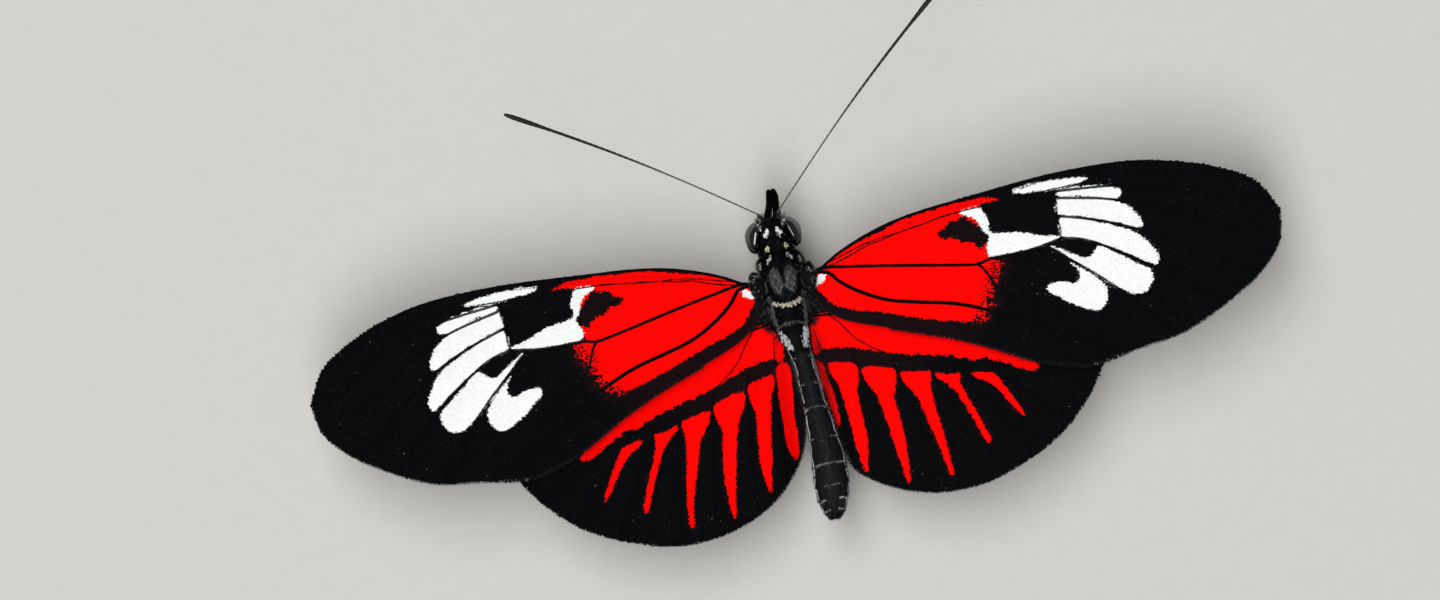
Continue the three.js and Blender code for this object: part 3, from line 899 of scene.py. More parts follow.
RED_RAYS = (
    Patch(((2.25, -6.3), (3.3, -6.4), (4.4, -6.8), (4.4, -7.8), (4.15, -9.0), (4.25, -10.8), (4.38, -12.8),
          (4.2, -14.2), (4.02, -15.3), (3.82, -15.35), (3.62, -14.2), (3.35, -12.6), (3.2, -11.0),
          (2.9, -9.0), (2.6, -7.7), (2.2, -6.9))),
    Patch(((4.8, -7.2), (6.3, -7.35), (7.4, -7.85), (7.25, -8.9), (7.0, -9.9), (7.2, -11.6), (7.35, -13.8),
          (7.3, -15.6), (7.15, -16.8), (6.98, -16.8), (6.75, -15.4), (6.4, -13.4), (6.0, -11.2),
          (5.5, -9.3), (4.8, -7.95))),
    Patch(((7.7, -8.1), (8.9, -8.27), (10.1, -8.5), (10.0, -9.5), (10.0, -10.75), (10.4, -13.2),
          (10.62, -15.5), (10.62, -16.95), (10.45, -16.95), (10.12, -15.3), (9.75, -13.7), (9.3, -12.2),
          (8.8, -10.3), (8.0, -9.1))),
    Patch(((10.5, -8.72), (11.3, -8.95), (12.0, -9.05), (12.35, -9.0), (12.4, -9.9), (12.75, -11.0),
          (13.22, -12.2), (13.7, -13.5), (14.08, -14.7), (14.02, -15.05), (13.9, -15.05), (13.7, -14.8),
          (13.47, -14.3), (13.18, -13.46), (12.76, -12.4), (12.4, -11.6), (12.0, -10.7), (11.5, -10.0),
          (10.9, -9.4), (10.5, -9.0))),
    Patch(((13.3, -9.3), (14.2, -9.4), (15.1, -9.65), (15.5, -10.3), (16.05, -11.3), (16.6, -12.3),
          (17.02, -13.2), (17.0, -13.5), (16.9, -13.45), (16.42, -12.75), (15.9, -12.0), (15.45, -11.3),
          (14.92, -10.6), (14.35, -10.1), (13.7, -9.75))),
)
INNER_RAY = {
    Side.LEFT: Patch(((0.9, -5.6), (1.75, -5.6), (2.15, -7.9), (2.25, -10.3), (2.25, -12.3), (1.8, -13.3),
                      (1.4, -12.5), (1.2, -9.8), (1.0, -8.1))),
    Side.RIGHT: Patch(((1.1, -5.8), (1.75, -6.1), (2.0, -7.4), (2.25, -8.8), (2.2, -11.2), (1.8, -11.2),
                       (1.45, -8.7), (1.15, -7.2))),
}
# The inner ray lies in the fold beside the abdomen, where the right one is seen in its shade. That shade is
# painted on it, as brown laid over its red
INNER_RAY_SHADE = {Side.LEFT: 0.1, Side.RIGHT: 0.62}
# The insect holds its wings a little differently on its two sides: how far each forewing reaches, as a
# share of the plan, from where it is stretched, and how far the rear ends of the hindwings' rays lie
# outside the plan
FORE_REACH = {Side.LEFT: 0.985, Side.RIGHT: 1.015}
FORE_STRETCH = (27.0, 38.0)
RAY_SWAY = {Side.LEFT: 0.4, Side.RIGHT: -0.4}

FORE_EDGES = {
    "costa": ((1.45, 0.42), (2.4, 0.85), (5.0, 2.35), (9.4, 3.8), (16.0, 4.55), (23.5, 5.0), (29.5, 4.62),
              (34.5, 3.1), (37.6, 1.25), (39.1, -1.3)),
    "termen": ((39.1, -1.3), (38.5, -3.9), (36.3, -6.2), (33.4, -7.95), (30.4, -9.3), (26.5, -9.95),
               (22.4, -10.5)),
    "trailing": ((1.45, -1.75), (2.4, -1.95), (4.2, -3.15), (7.6, -4.5), (12.2, -6.2), (15.2, -7.6),
                 (18.2, -9.2), (22.4, -10.5)),
}
HIND_EDGES = {
    "costa": ((1.15, -1.75), (2.35, -1.85), (7.0, -2.1), (13.0, -3.3), (18.5, -5.0), (22.4, -6.7),
              (24.1, -8.9)),
    "termen": ((24.1, -8.9), (23.3, -10.9), (21.6, -13.2), (19.1, -15.4), (16.0, -16.95), (12.4, -18.0),
               (9.0, -17.98), (5.9, -17.1), (3.5, -15.65)),
}
ANAL_ANGLE = {Side.LEFT: (1.5, -13.35), Side.RIGHT: (2.52, -14.65)}
HIND_ROOT_BACK = (1.05, -3.2)
# How far the fold of the hindwing lies from the side of the abdomen's skin, and the places where that is set
FOLD_CLEARANCE = 0.2
FOLD_PLACES = (-5.6, -8.2, -10.8)


@dataclass(frozen=True)
class WingPlan:
    """What the two wings of a pair share: the veins; how many spots the membrane has from root to tip and
    from front to back; the box in plan that the relief covers; the point behind the root from which the
    scales fan out; where long hair grows and how many spots are tried for it; how many points of the rear
    edge the fringe follows; and the start of the coats' random numbers."""

    veins: tuple[Vein, ...]
    spans: int
    chords: int
    low: tuple[float, float]
    high: tuple[float, float]
    fan: tuple[float, float]
    brush: tuple[tuple[float, float], ...]
    brush_spots: int
    fringed: int
    seed: int


PLANS = {
    Pair.FORE: WingPlan(FORE_VEINS, 150, 64, (1.0, -11.5), (40.0, 6.0), (-8.0, -1.5),
                        ((1.5, 0.9), (2.4, 1.05), (3.2, 0.85), (3.25, 0.2), (2.45, -0.1), (2.5, -0.8),
                         (3.2, -1.75), (2.4, -2.0), (1.5, -1.8), (1.3, -0.5)), 5200, 4, 144),
    Pair.HIND: WingPlan(HIND_VEINS, 96, 72, (0.5, -19.0), (25.0, -1.0), (-1.0, 2.0),
                        ((0.95, -1.9), (2.1, -1.9), (2.1, -2.2), (1.4, -2.9), (1.05, -3.6), (0.85, -3.4)),
                        1300, 2, 44),
}

# The body, as rows of place along Y, half width, half depth, centre X and centre height
BODY_STATIONS = np.array([
    (-18.55, 0.1, 0.1, 0.38, 5.35), (-18.45, 0.34, 0.34, 0.38, 5.36), (-18.2, 0.6, 0.58, 0.4, 5.38),
    (-17.4, 1.04, 0.98, 0.46, 5.45), (-15.8, 1.35, 1.22, 0.62, 5.6), (-13.6, 1.28, 1.22, 0.73, 5.8),
    (-10.8, 1.0, 1.05, 0.64, 6.05), (-8.2, 0.78, 0.9, 0.48, 6.2), (-5.6, 0.74, 0.82, 0.3, 6.25),
    (-4.5, 0.9, 0.9, 0.18, 6.25), (-3.9, 1.06, 0.95, 0.11, 6.25), (-3.3, 1.16, 1.02, 0.07, 6.25),
    (-3.0, 1.22, 1.15, 0.05, 6.25), (-2.3, 1.56, 1.65, 0.0, 6.15), (-1.0, 1.82, 2.08, 0.02, 6.0),
    (0.2, 1.9, 2.2, 0.04, 6.0), (1.5, 1.84, 2.0, 0.06, 6.0), (2.15, 1.68, 1.6, 0.08, 6.05),
    (2.5, 1.62, 1.45, 0.08, 6.1), (2.8, 1.48, 1.32, 0.08, 6.1), (3.1, 1.2, 1.05, 0.08, 6.1),
    (3.35, 1.0, 0.8, 0.07, 6.08), (3.65, 1.18, 0.92, 0.06, 6.05), (4.1, 1.3, 1.1, 0.0, 6.0),
    (4.8, 1.3, 1.15, -0.03, 5.95), (5.4, 1.12, 1.02, -0.03, 5.9), (5.85, 0.78, 0.76, 0.0, 5.85),
    (6.02, 0.36, 0.36, 0.0, 5.85), (6.06, 0.08, 0.1, 0.0, 5.85),
])


def body_row(y: Array) -> Array:
    """Half width, half depth, centre X and centre height of the body's skin at places along Y."""
    return smooth_through(y, BODY_STATIONS[:, 0], BODY_STATIONS[:, 1:])


@dataclass
class Relief:
    """How veins and the cells between them raise and lower a wing, on a fine grid that is read between its
    points: a ridge over each vein, exp(-(gap / slope)^2), and a sag that deepens away from it."""

    lines: list[Array]
    low: tuple[float, float]
    high: tuple[float, float]
    step: float = 0.12
    ridge: float = 0.05
    slope: float = 0.14
    sag: float = 0.12
    sag_reach: float = 0.9
    wave: float = 0.05

    def __post_init__(self) -> None:
        """Works out the grid."""
        x = np.arange(self.low[0], self.high[0], self.step)
        y = np.arange(self.low[1], self.high[1], self.step)
        across, back = np.meshgrid(x, y, indexing="ij")
        gap = distance_to(self.lines, across, back)
        ridge = self.ridge * np.exp(-((gap / self.slope) ** 2))
        sag = self.sag * (1 - np.exp(-((gap / self.sag_reach) ** 2)))
        self.grid = ridge - sag + self.wave * wobble(across, back, 7.0)

    def at(self, x: Array, y: Array) -> Array:
        """The relief at spots, in proportion between the four points of the grid round each.

        Args:
            x: X of the spots.
            y: Y of the spots.

        Returns:
            How far the membrane rises there.
        """
        column = np.clip((x - self.low[0]) / self.step, 0, self.grid.shape[0] - 1.001)
        row = np.clip((y - self.low[1]) / self.step, 0, self.grid.shape[1] - 1.001)
        i, j = column.astype(int), row.astype(int)
        s, t = column - i, row - j
        near = self.grid[i, j] * (1 - t) + self.grid[i, j + 1] * t
        far = self.grid[i + 1, j] * (1 - t) + self.grid[i + 1, j + 1] * t
        return near * (1 - s) + far * s


@dataclass
class Wing:
    """One wing: a thin membrane stretched between veins, a coat of scales on each face, and a fringe."""

    pair: Pair
    side: Side
    relief: Relief
    thickness: float = 0.1
    vein_sides: int = 8
    # The ways between rows of scales and between neighbours. Real scales are 0.1 mm by 0.2 mm, and are
    # drawn a little larger so that they show
    upper_steps: tuple[float, float] = (0.155, 0.12)
    lower_steps: tuple[float, float] = (0.21, 0.16)
    fringe_pitch: float = 0.055

    @property
    def plan(self) -> WingPlan:
        """What the wing shares with the other one of its pair."""
        return PLANS[self.pair]

    @property
    def node(self) -> str:
        """The CAD node that the wing stands for."""
        return f"{self.pair.value}_{self.side.word}"

    def edges(self) -> dict[str, Array]:
        """The wing's edges in plan.

        Returns:
            The costa and trailing edge from the root outwards, and the termen from front to back.
        """
        if self.pair is Pair.FORE:
            return {name: np.array(points) for name, points in FORE_EDGES.items()}
        places = np.array(FOLD_PLACES)
        row = body_row(places)
        beside = row[:, 0] + FOLD_CLEARANCE + row[:, 2] * self.side.value
        corner = ANAL_ANGLE[self.side]
        return {
            "costa": np.array(HIND_EDGES["costa"]),
            "termen": np.array([*HIND_EDGES["termen"], corner]),
            "trailing": np.concatenate([[HIND_ROOT_BACK], np.column_stack([beside, places]), [corner]]),
        }

    def plan_grid(self, spans: int, chords: int) -> Array:
        """A grid over the wing in plan: the patch that blends its four edges. It is the mean of front and
        back edge plus that of root and outer edge, in proportion, less the same blend of the corners.

        Args:
            spans: Spots from root to tip.
            chords: Spots from front to back.

        Returns:
            The grid, as an array of span, chord, and X and Y.
        """
        edges = self.edges()
        front, back = smooth_path(edges["costa"], spans), smooth_path(edges["trailing"], spans)
        outer = smooth_path(edges["termen"], chords)
        u = np.linspace(0.0, 1.0, spans)[:, None, None]
        v = np.linspace(0.0, 1.0, chords)[None, :, None]
        inner = front[0] * (1 - v) + back[0] * v
        corners = inner * (1 - u) + (outer[0] * (1 - v) + outer[-1] * v) * u
        return front[:, None] * (1 - v) + back[:, None] * v + inner * (1 - u) + outer[None] * u - corners

    def outline(self) -> Array:
        """The wing's outline in plan, from the root along the front edge and back along the rear."""
        grid = self.plan_grid(120, 60)
        return np.concatenate([grid[:-1, 0], grid[-1, :-1], grid[:0:-1, -1], grid[0, :0:-1]])

    def rise(self, x: Array, y: Array) -> Array:
        """The height of the membrane's middle: WING_LEVEL, plus a dihedral less a droop in proportion to the
        square of the reach, a rise forwards, the fold beside the body, and the relief.

        Args:
            x: X of the spots.
            y: Y of the spots.

        Returns:
            The heights.
        """
        reach = x - WING_ROOT_X
        spread = WING_LEVEL + DIHEDRAL * reach - TIP_DROOP * reach**2 + FORWARD_RISE * y
        if self.pair is Pair.FORE:
            return spread + WING_OVERLAP_RISE + self.relief.at(x, y)
        behind = smoothstep(-y, ANAL_FOLD_START, ANAL_FOLD_START + ANAL_FOLD_LENGTH)
        fold = np.exp(-(((x - ANAL_FOLD_X) / ANAL_FOLD_WIDTH) ** 2))
        return spread - WING_OVERLAP_RISE - ANAL_FOLD_DEPTH * behind * fold + self.relief.at(x, y)

    def surface(self, x: Array, y: Array, off: float, face: Face = Face.UPPER) -> tuple[Array, Array]:
        """Points near the membrane, and the way out of it, from its slopes over a short step.

        Args:
            x: X of the spots.
            y: Y of the spots.
            off: How far the points lie off the membrane's middle.
            face: The face on which they lie.

        Returns:
            The points, and the way out of the membrane at each.
        """
        step = 0.08
        along = (self.rise(x + step, y) - self.rise(x - step, y)) / (2 * step)
        forward = (self.rise(x, y + step) - self.rise(x, y - step)) / (2 * step)
        normal = unit(np.stack([-along, -forward, np.ones_like(along)], axis=-1)) * face.value
        return np.column_stack([x, y, self.rise(x, y)]) + normal * off, normal

    def seated(self, shape: Shape) -> Shape:
        """Puts a shape on the wing's side, its outer part as far out as this side's forewing reaches.

        Args:
            shape: The shape, as on the right side. It is changed.

        Returns:
            The shape in its place.
        """
        if self.pair is Pair.FORE:
            x = shape.points[:, 0]
            x += (FORE_REACH[self.side] - 1) * (x - WING_ROOT_X) * smoothstep(x, *FORE_STRETCH)
        return shape.mirrored(self.side)

    def dyes(self, x: Array, y: Array, stray: float | Array = 0.0, lined: bool = True) -> Dyes:
        """The markings: red, white and brown at each spot; brown also paints shade in the hindwing's fold.

        Args:
            x: X of the spots.
            y: Y of the spots.
            stray: A number from -1 to 1 of each scale, or 0 for plain edges.
            lined: True to darken the red along the veins.

        Returns:
            The dyes, each from 0 to 1.
        """
        beside = np.min([distance_to([vein.path()], x, y) - vein.dark for vein in self.plan.veins], axis=0)
        clear = smoothstep(beside, -0.05, -0.02) if lined else 1.0
        if self.pair is Pair.FORE:
            # The red's outer end is ragged, with a halo of brown
            end = 0.7 * smoothstep(x, 13.2, 15.4) * (1 - smoothstep(y, -0.6, 0.6))
            halo = RED_BASE.cover(x - 0.7, y + 0.3, stray, end) * smoothstep(end, 0.1, 0.5)
            blotch = BLOTCH.cover(x, y, stray)
            red = RED_BASE.cover(x, y, stray, end) * (1 - blotch) * clear
            warm = 0.6 * (1 - smoothstep(x, 11.0, 16.0)) * (1 - smoothstep(y, -1.5, -0.5))
            brown = (1 - red) * np.clip(np.max([warm, 0.5 * blotch * (1 + stray), halo], axis=0), 0, 1)
            return {"red": red, "white": np.max([spot.cover(x, y, stray) for spot in WHITE_SPOTS], axis=0),
                    "brown": brown}
        ray = INNER_RAY[self.side].cover(x, y, stray)
        bar = RED_BAR.cover(x, y, stray) * clear
        swayed = x - RAY_SWAY[self.side] * smoothstep(-y, 6.0, 17.0)
        red = np.max([bar, ray, *(other.cover(swayed, y, stray) for other in RED_RAYS)], axis=0)
        warm = 0.6 * smoothstep(y, -9.0, -6.5) * (1 - smoothstep(x, 9.0, 14.0))
        streak = 1 + 0.35 * wobble(5 * x, 0.5 * y, 1.4)
        # Painted shade: the inner ray in the fold by the abdomen is darkened with brown, most on the right
        shade = INNER_RAY_SHADE[self.side] * streak * (1 - smoothstep(x, 1.6, 2.7))
        brown = np.clip(np.maximum((1 - red) * warm, shade * smoothstep(-y, 2.8, 5.0)), 0, 1)
        return {"red": red, "white": np.zeros_like(red), "brown": brown}

    def membrane(self) -> Shape:
        """The membrane: the plan's grid at the height of rise, half the thickness up and down, thinner at
        the front and rear edges.

        Returns:
            The closed sheet.
        """
        grid = self.plan_grid(self.plan.spans, self.plan.chords)
        x, y = grid[..., 0], grid[..., 1]
        height = self.rise(x, y)
        edge = np.sin(np.linspace(0, math.pi, self.plan.chords)) ** 0.25
        half = self.thickness / 2 * (0.4 + 0.6 * edge)
        shape = slab(np.dstack([x, y, height + half]), np.dstack([x, y, height - half]))
        dyes = self.dyes(x.ravel(), y.ravel()) | {"tone": 0.5 + 0.5 * wobble(x.ravel(), y.ravel(), 0.9)}
        shape.dyes = {key: np.tile(values, 2) for key, values in dyes.items()}
        return self.seated(shape)

    def vein_tubes(self) -> Shape:
        """The veins, as tubes along the membrane's middle that stand out on both faces.

        Returns:
            All the tubes as one shape.
        """
        tubes = []
        for vein in self.plan.veins:
            path = vein.path(max(10, int(4 * np.ptp(np.array(vein.points)[:, 0]) + 6)))
            x, y = path.T
            radius = np.linspace(*vein.radius, len(path)) * (1 + 0.06 * wobble(x, y, 1.3))
            tubed = tube(np.column_stack([x, y, self.rise(x, y)]), radius, radius, self.vein_sides)
            x, y, _ = tubed.points.T
            dyes = self.dyes(x, y)
            faint = 1.0 if vein.dark == 0 else 0.35 if vein.dark < 0.04 else 0.0
            tubed.dyes = {"red": faint * dyes["red"], "white": 0.15 * dyes["white"],
                          "brown": 0.3 * dyes["brown"], "tone": 0.5 + 0.5 * wobble(x, y, 0.5)}
            tubes.append(tubed)
        return self.seated(joined(tubes))

    def scale_roots(self, row: float, pitch: float, rng: np.random.Generator) -> tuple[Array, Array, Array]:
        """Where scales grow: in arcs round a point behind the root, a row apart, with a pitch between
        neighbours and every second arc half a pitch over, all moved a little at random.

        Args:
            row: The way between arcs.
            pitch: The way between neighbours on an arc.
            rng: The random numbers.

        Returns:
            X and Y of the roots, and the angle in which each scale points.
        """
        outline = self.outline()
        away = outline - self.plan.fan
        sweep = np.arctan2(away[:, 1], away[:, 0])
        reach = np.linalg.norm(away, axis=1)
        radii = np.arange(reach.min(), reach.max(), row)[:, None]
        most = int(np.ptp(sweep) * reach.max() / pitch) + 1
        odd = (np.arange(len(radii)) % 2)[:, None] / 2
        shift = rng.uniform(-0.2, 0.2, (2, len(radii), most))
        angle = sweep.min() + (np.arange(most)[None] + odd + shift[0]) * pitch / radii
        far = radii + shift[1] * row
        x, y = self.plan.fan[0] + far * np.cos(angle), self.plan.fan[1] + far * np.sin(angle)
        inside = depth_inside(outline, x, y) > 0.08
        return x[inside], y[inside], angle[inside]

    def coat(self, face: Face) -> Shape:
        """The scales of one face: paddles that point away from the root and lie on the membrane, each with
        the one colour that the markings have under its middle.

        Args:
            face: The wing's face.

        Returns:
            The scales as one shape.
        """
        rng = np.random.default_rng(self.plan.seed + 10 * self.side.value + 2 * face.value)
        row, pitch = self.upper_steps if face is Face.UPPER else self.lower_steps
        x, y, angle = self.scale_roots(row, pitch, rng)
        count = len(x)
        angle = angle + rng.normal(0, 0.09, count)
        length = row * 1.55 * rng.uniform(0.88, 1.14, count)
        width = pitch * 1.22 * rng.uniform(0.9, 1.12, count)
        seen = x + 0.6 * length * np.cos(angle), y + 0.6 * length * np.sin(angle)
        dyes = self.dyes(*seen, rng.uniform(-1, 1, count)) | {"tone": rng.uniform(0, 1, count)}
        # A few pale scales lie loose among the black ones
        drift = 0.0016 * (1 + wobble(x, y, 5.0))
        loose = (rng.uniform(0, 1, count) < drift) & (dyes["red"] < 0.1) & (dyes["white"] < 0.1)
        dyes["white"] = np.maximum(dyes["white"], np.where(loose, rng.uniform(0.02, 0.13, count), 0))
        width = np.where(loose, 0.6 * width, width)
        length = np.where(loose, 0.7 * length, length)
        root, normal = self.surface(x, y, self.thickness / 2 + 0.012, face)
        ahead = along_surface(np.column_stack([np.cos(angle), np.sin(angle), np.zeros(count)]), normal)
        made = shingles(root, ahead, normal, length, width, 0.17, plan_place(x, y), dyes)
        return self.seated(joined([made, self.vein_rows(rng)]) if face is Face.UPPER else made)

    def vein_rows(self, rng: np.random.Generator) -> Shape:
        """The dark scales that line each vein where it crosses red or white: rows side by side along it,
        over the other scales.

        Args:
            rng: The random numbers.

        Returns:
            The scales as one shape.
        """
        rows = []
        for vein in (vein for vein in self.plan.veins if vein.dark > 0):
            path = vein.path(int(np.linalg.norm(np.diff(vein.points, axis=0), axis=1).sum() / 0.08))
            run = unit(np.gradient(path, axis=0))
            beside = np.column_stack([-run[:, 1], run[:, 0]])
            lines = max(1, round(vein.dark / 0.035))
            for offset in np.linspace(-1, 1, lines) * max(vein.dark - 0.035, 0.0):
                rows.append(np.column_stack([path + offset * beside, run]))
        x, y, *run = np.concatenate(rows).T
        near = [self.dyes(x + dx, y + dy, lined=False) for dx, dy in ((0.16, -0.1), (-0.1, 0.16))]
        keep = np.max([dye[key] for dye in near for key in ("red", "white")], axis=0) > 0.3
        x, y, flat = x[keep], y[keep], np.column_stack([*run, np.zeros(len(x))])[keep]
        count = len(x)
        flat[:, :2] += rng.normal(0, 0.05, (count, 2))
        root, normal = self.surface(x, y, self.thickness / 2 + 0.05)
        brown = 0.4 * (1 - smoothstep(x, 11.0, 16.0))
        dyes = dyed(count, red=0, white=0, brown=brown, tone=rng.uniform(0, 0.7, count))
        length = rng.uniform(0.17, 0.23, count)
        return shingles(root, along_surface(flat, normal), normal, length, 0.08, 0.1, plan_place(x, y), dyes)

    def fringe(self) -> Shape:
        """The fringe: two rows of narrow scales that stick out past the outer margin, dark grey, with white
        tips in the middle between two veins.

        Returns:
            The scales as one shape.
        """
        rng = np.random.default_rng(15 + self.side.value)
        edges = self.edges()
        margin = np.concatenate([edges["termen"], edges["trailing"][::-1][1 : self.plan.fringed + 1]])
        reach = np.linalg.norm(np.diff(margin, axis=0), axis=1).sum()
        path = smooth_path(margin, int(reach / self.fringe_pitch))
        run = unit(np.gradient(path, axis=0))
        out = np.tile(np.column_stack([-run[:, 1], run[:, 0]]), (2, 1))
        inset = np.repeat([0.28, 0.16], len(path))
        x, y = (np.tile(path, (2, 1)) - out * inset[:, None]).T
        count = len(x)
        out = out + rng.normal(0, 0.12, (count, 2))
        root, normal = self.surface(x, y, 0.0)
        root[:, 2] += np.repeat([0.03, -0.02], len(path))
        ahead = along_surface(np.column_stack([out, np.zeros(count)]), normal)
        gap = distance_to([vein.path() for vein in self.plan.veins], x, y)
        outer = (np.arange(count) % len(path) < len(path) * 0.55) & (x > 5.0)
        mark = smoothstep(gap, 1.0, 1.2) * (rng.uniform(0, 1, count) < 0.5) * outer
        white = 0.16 * mark + rng.uniform(0.0, 0.008, count)
        dyes = dyed(count, red=0, white=white, brown=0, tone=rng.uniform(0.3, 1, count))
        length = rng.uniform(0.3, 0.38, count)
        return self.seated(shingles(root, ahead, normal, length, 0.065, 0.03, plan_place(x, y), dyes))

    def root_brush(self) -> Shape:
        """Long hair over the wing's root: black with painted glints, white where it covers the white patch.

        Returns:
            The hairs as one shape.
        """
        rng = np.random.default_rng(78 + self.side.value)
        area = np.array(self.plan.brush)
        spots = rng.uniform(area.min(axis=0), area.max(axis=0), (self.plan.brush_spots, 2))
        x, y = spots[depth_inside(area, *spots.T) > 0].T
        white = np.zeros(len(x))
        if self.pair is Pair.FORE:
            white = WHITE_SPOTS[-1].cover(x + 0.08, y - 0.06, rng.uniform(-1, 1, len(x)))
        keep = (white > 0.5) | (x < 2.5 + 0.3 * (y < -1.2)) & (rng.uniform(0, 1, len(x)) < 0.55)
        x, y, white = x[keep], y[keep], white[keep] > 0.5
        count = len(x)
        root, normal = self.surface(x, y, 0.06)
        flat = [rng.normal(0.75, 0.2, count), rng.normal(-0.55, 0.25, count), np.zeros(count)]
        ahead = unit(np.column_stack(flat) + normal * rng.uniform(0.1, 0.35, (count, 1)))
        # Painted glints: a few black hairs are made paler, standing in for their shine
        glint = np.where(rng.uniform(0, 1, count) < 0.06, 0.16, 0.012) * rng.uniform(0.3, 1, count)
        dyes = dyed(count, pale=np.where(white, 1.0, glint), cream=0, tone=rng.uniform(0, 1, count))
        length = np.where(white, 0.2, rng.uniform(0.8, 1.2, count) * np.clip(1.45 - 0.5 * x, 0.22, 0.7))
        bend = np.array([[0.1, -0.3, -0.25]]) + rng.normal(0, 0.08, (count, 3))
        return self.seated(bristles(root, ahead, bend, length, 0.022, plan_place(x, y), dyes))

    def build(self, finishes: Finishes) -> None:
        """Makes every piece of the wing.

        Args:
            finishes: The materials by name.
        """
        for name, shape, finish, smooth in (
            ("membrane", self.membrane(), "membrane", True),
            ("veins", self.vein_tubes(), "veins", True),
            ("upper_scales", self.coat(Face.UPPER), "upper", False),
            ("lower_scales", self.coat(Face.LOWER), "lower", False),
            ("fringe", self.fringe(), "upper", False),
            ("root_hair", self.root_brush(), "pile", True),
        ):
            shape.piece(f"{self.node}_{name}", finishes[finish], "wing_scales", (self.node,), smooth)


@dataclass(frozen=True)
class Mark:
    """A pale mark on the back, on both sides: all that lies within half_width of a line, with how pale, as
    the eye sees it, and how cream it is. X is measured from the body's middle. A furry mark is made of
    hair, and the others of flat scales. Its edge wanders by a share of half_width, and its scales stand off
    the skin."""

    points: tuple[tuple[float, float], ...]
    half_width: float
    pale: float
    cream: float = 0.0
    furry: bool = False
    wander: float = 0.35
    standing: float = 0.0


BODY_MARKS = (
    Mark(((0.36, 5.1), (0.46, 4.86), (0.5, 4.62)), 0.09, 1.0),
    Mark(((0.3, 4.95), (0.46, 4.86), (0.66, 4.74)), 0.07, 1.0),
    Mark(((0.84, 5.42), (0.88, 5.58)), 0.12, 1.0, standing=0.34),
    Mark(((0.62, 5.9), (0.8, 5.78)), 0.1, 0.6, 0.1, furry=True),
    Mark(((0.67, 3.75), (0.77, 3.6)), 0.12, 0.9, 0.9),
    Mark(((0.6, 2.9), (0.76, 2.76), (0.9, 2.62)), 0.085, 0.86, 0.35),
    Mark(((1.46, 2.56), (1.6, 2.15)), 0.08, 0.85, 0.3),
    Mark(((1.66, 1.85), (1.74, 1.55)), 0.07, 0.7, 0.1),
    Mark(((0.0, -1.0), (0.3, -0.99), (0.65, -0.88), (0.98, -0.73)), 0.08, 0.84, 0.85, False, 0.12, 0.08),
    Mark(((1.22, -0.75), (1.26, -1.4), (1.22, -2.1), (1.14, -2.7)), 0.13, 0.42, furry=True, wander=0.8),
    Mark(((0.0, -2.38), (0.6, -2.42), (0.95, -2.55), (1.14, -2.75)), 0.1, 0.42, furry=True, wander=0.6),
    Mark(((0.98, -3.1), (0.84, -3.6), (0.6, -4.3)), 0.22, 1.0, furry=True, wander=0.8),
)
# The grey ovals of the back: the middle and half axes of each, and how grey the eye sees it
BACK_OVALS = (((0.57, 1.12), (0.5, 1.12), 0.32), ((1.52, 0.8), (0.22, 0.5), 0.32),
              ((1.35, -0.2), (0.22, 0.35), 0.28), ((1.55, -1.2), (0.2, 0.6), 0.25))
TERGITE_EDGES = (-17.75, -16.9, -15.75, -14.15, -12.0, -9.75, -7.6, -5.4, -3.5)
# The pale lines across the abdomen: the place along Y, the turns between which each runs on both sides, and
# how pale the eye sees it
CROSS_LINES = ((-5.4, 0.6, 1.2, 0.45), (-7.6, 0.5, 1.2, 0.5), (-9.55, 0.0, 1.2, 0.4), (-9.6, 0.7, 1.2, 0.8),
               (-12.0, 0.5, 1.2, 0.5), (-14.15, 0.0, 1.2, 0.62), (-15.9, 0.0, 0.6, 0.5),
               (-17.0, 0.4, 1.1, 0.95), (-17.85, 0.3, 1.2, 0.65))
BELLY_MARK_TURN = 2.6
# A mark's strength is given as the eye sees it, and its share of light is that strength to this power
EYE_POWER = 2.2


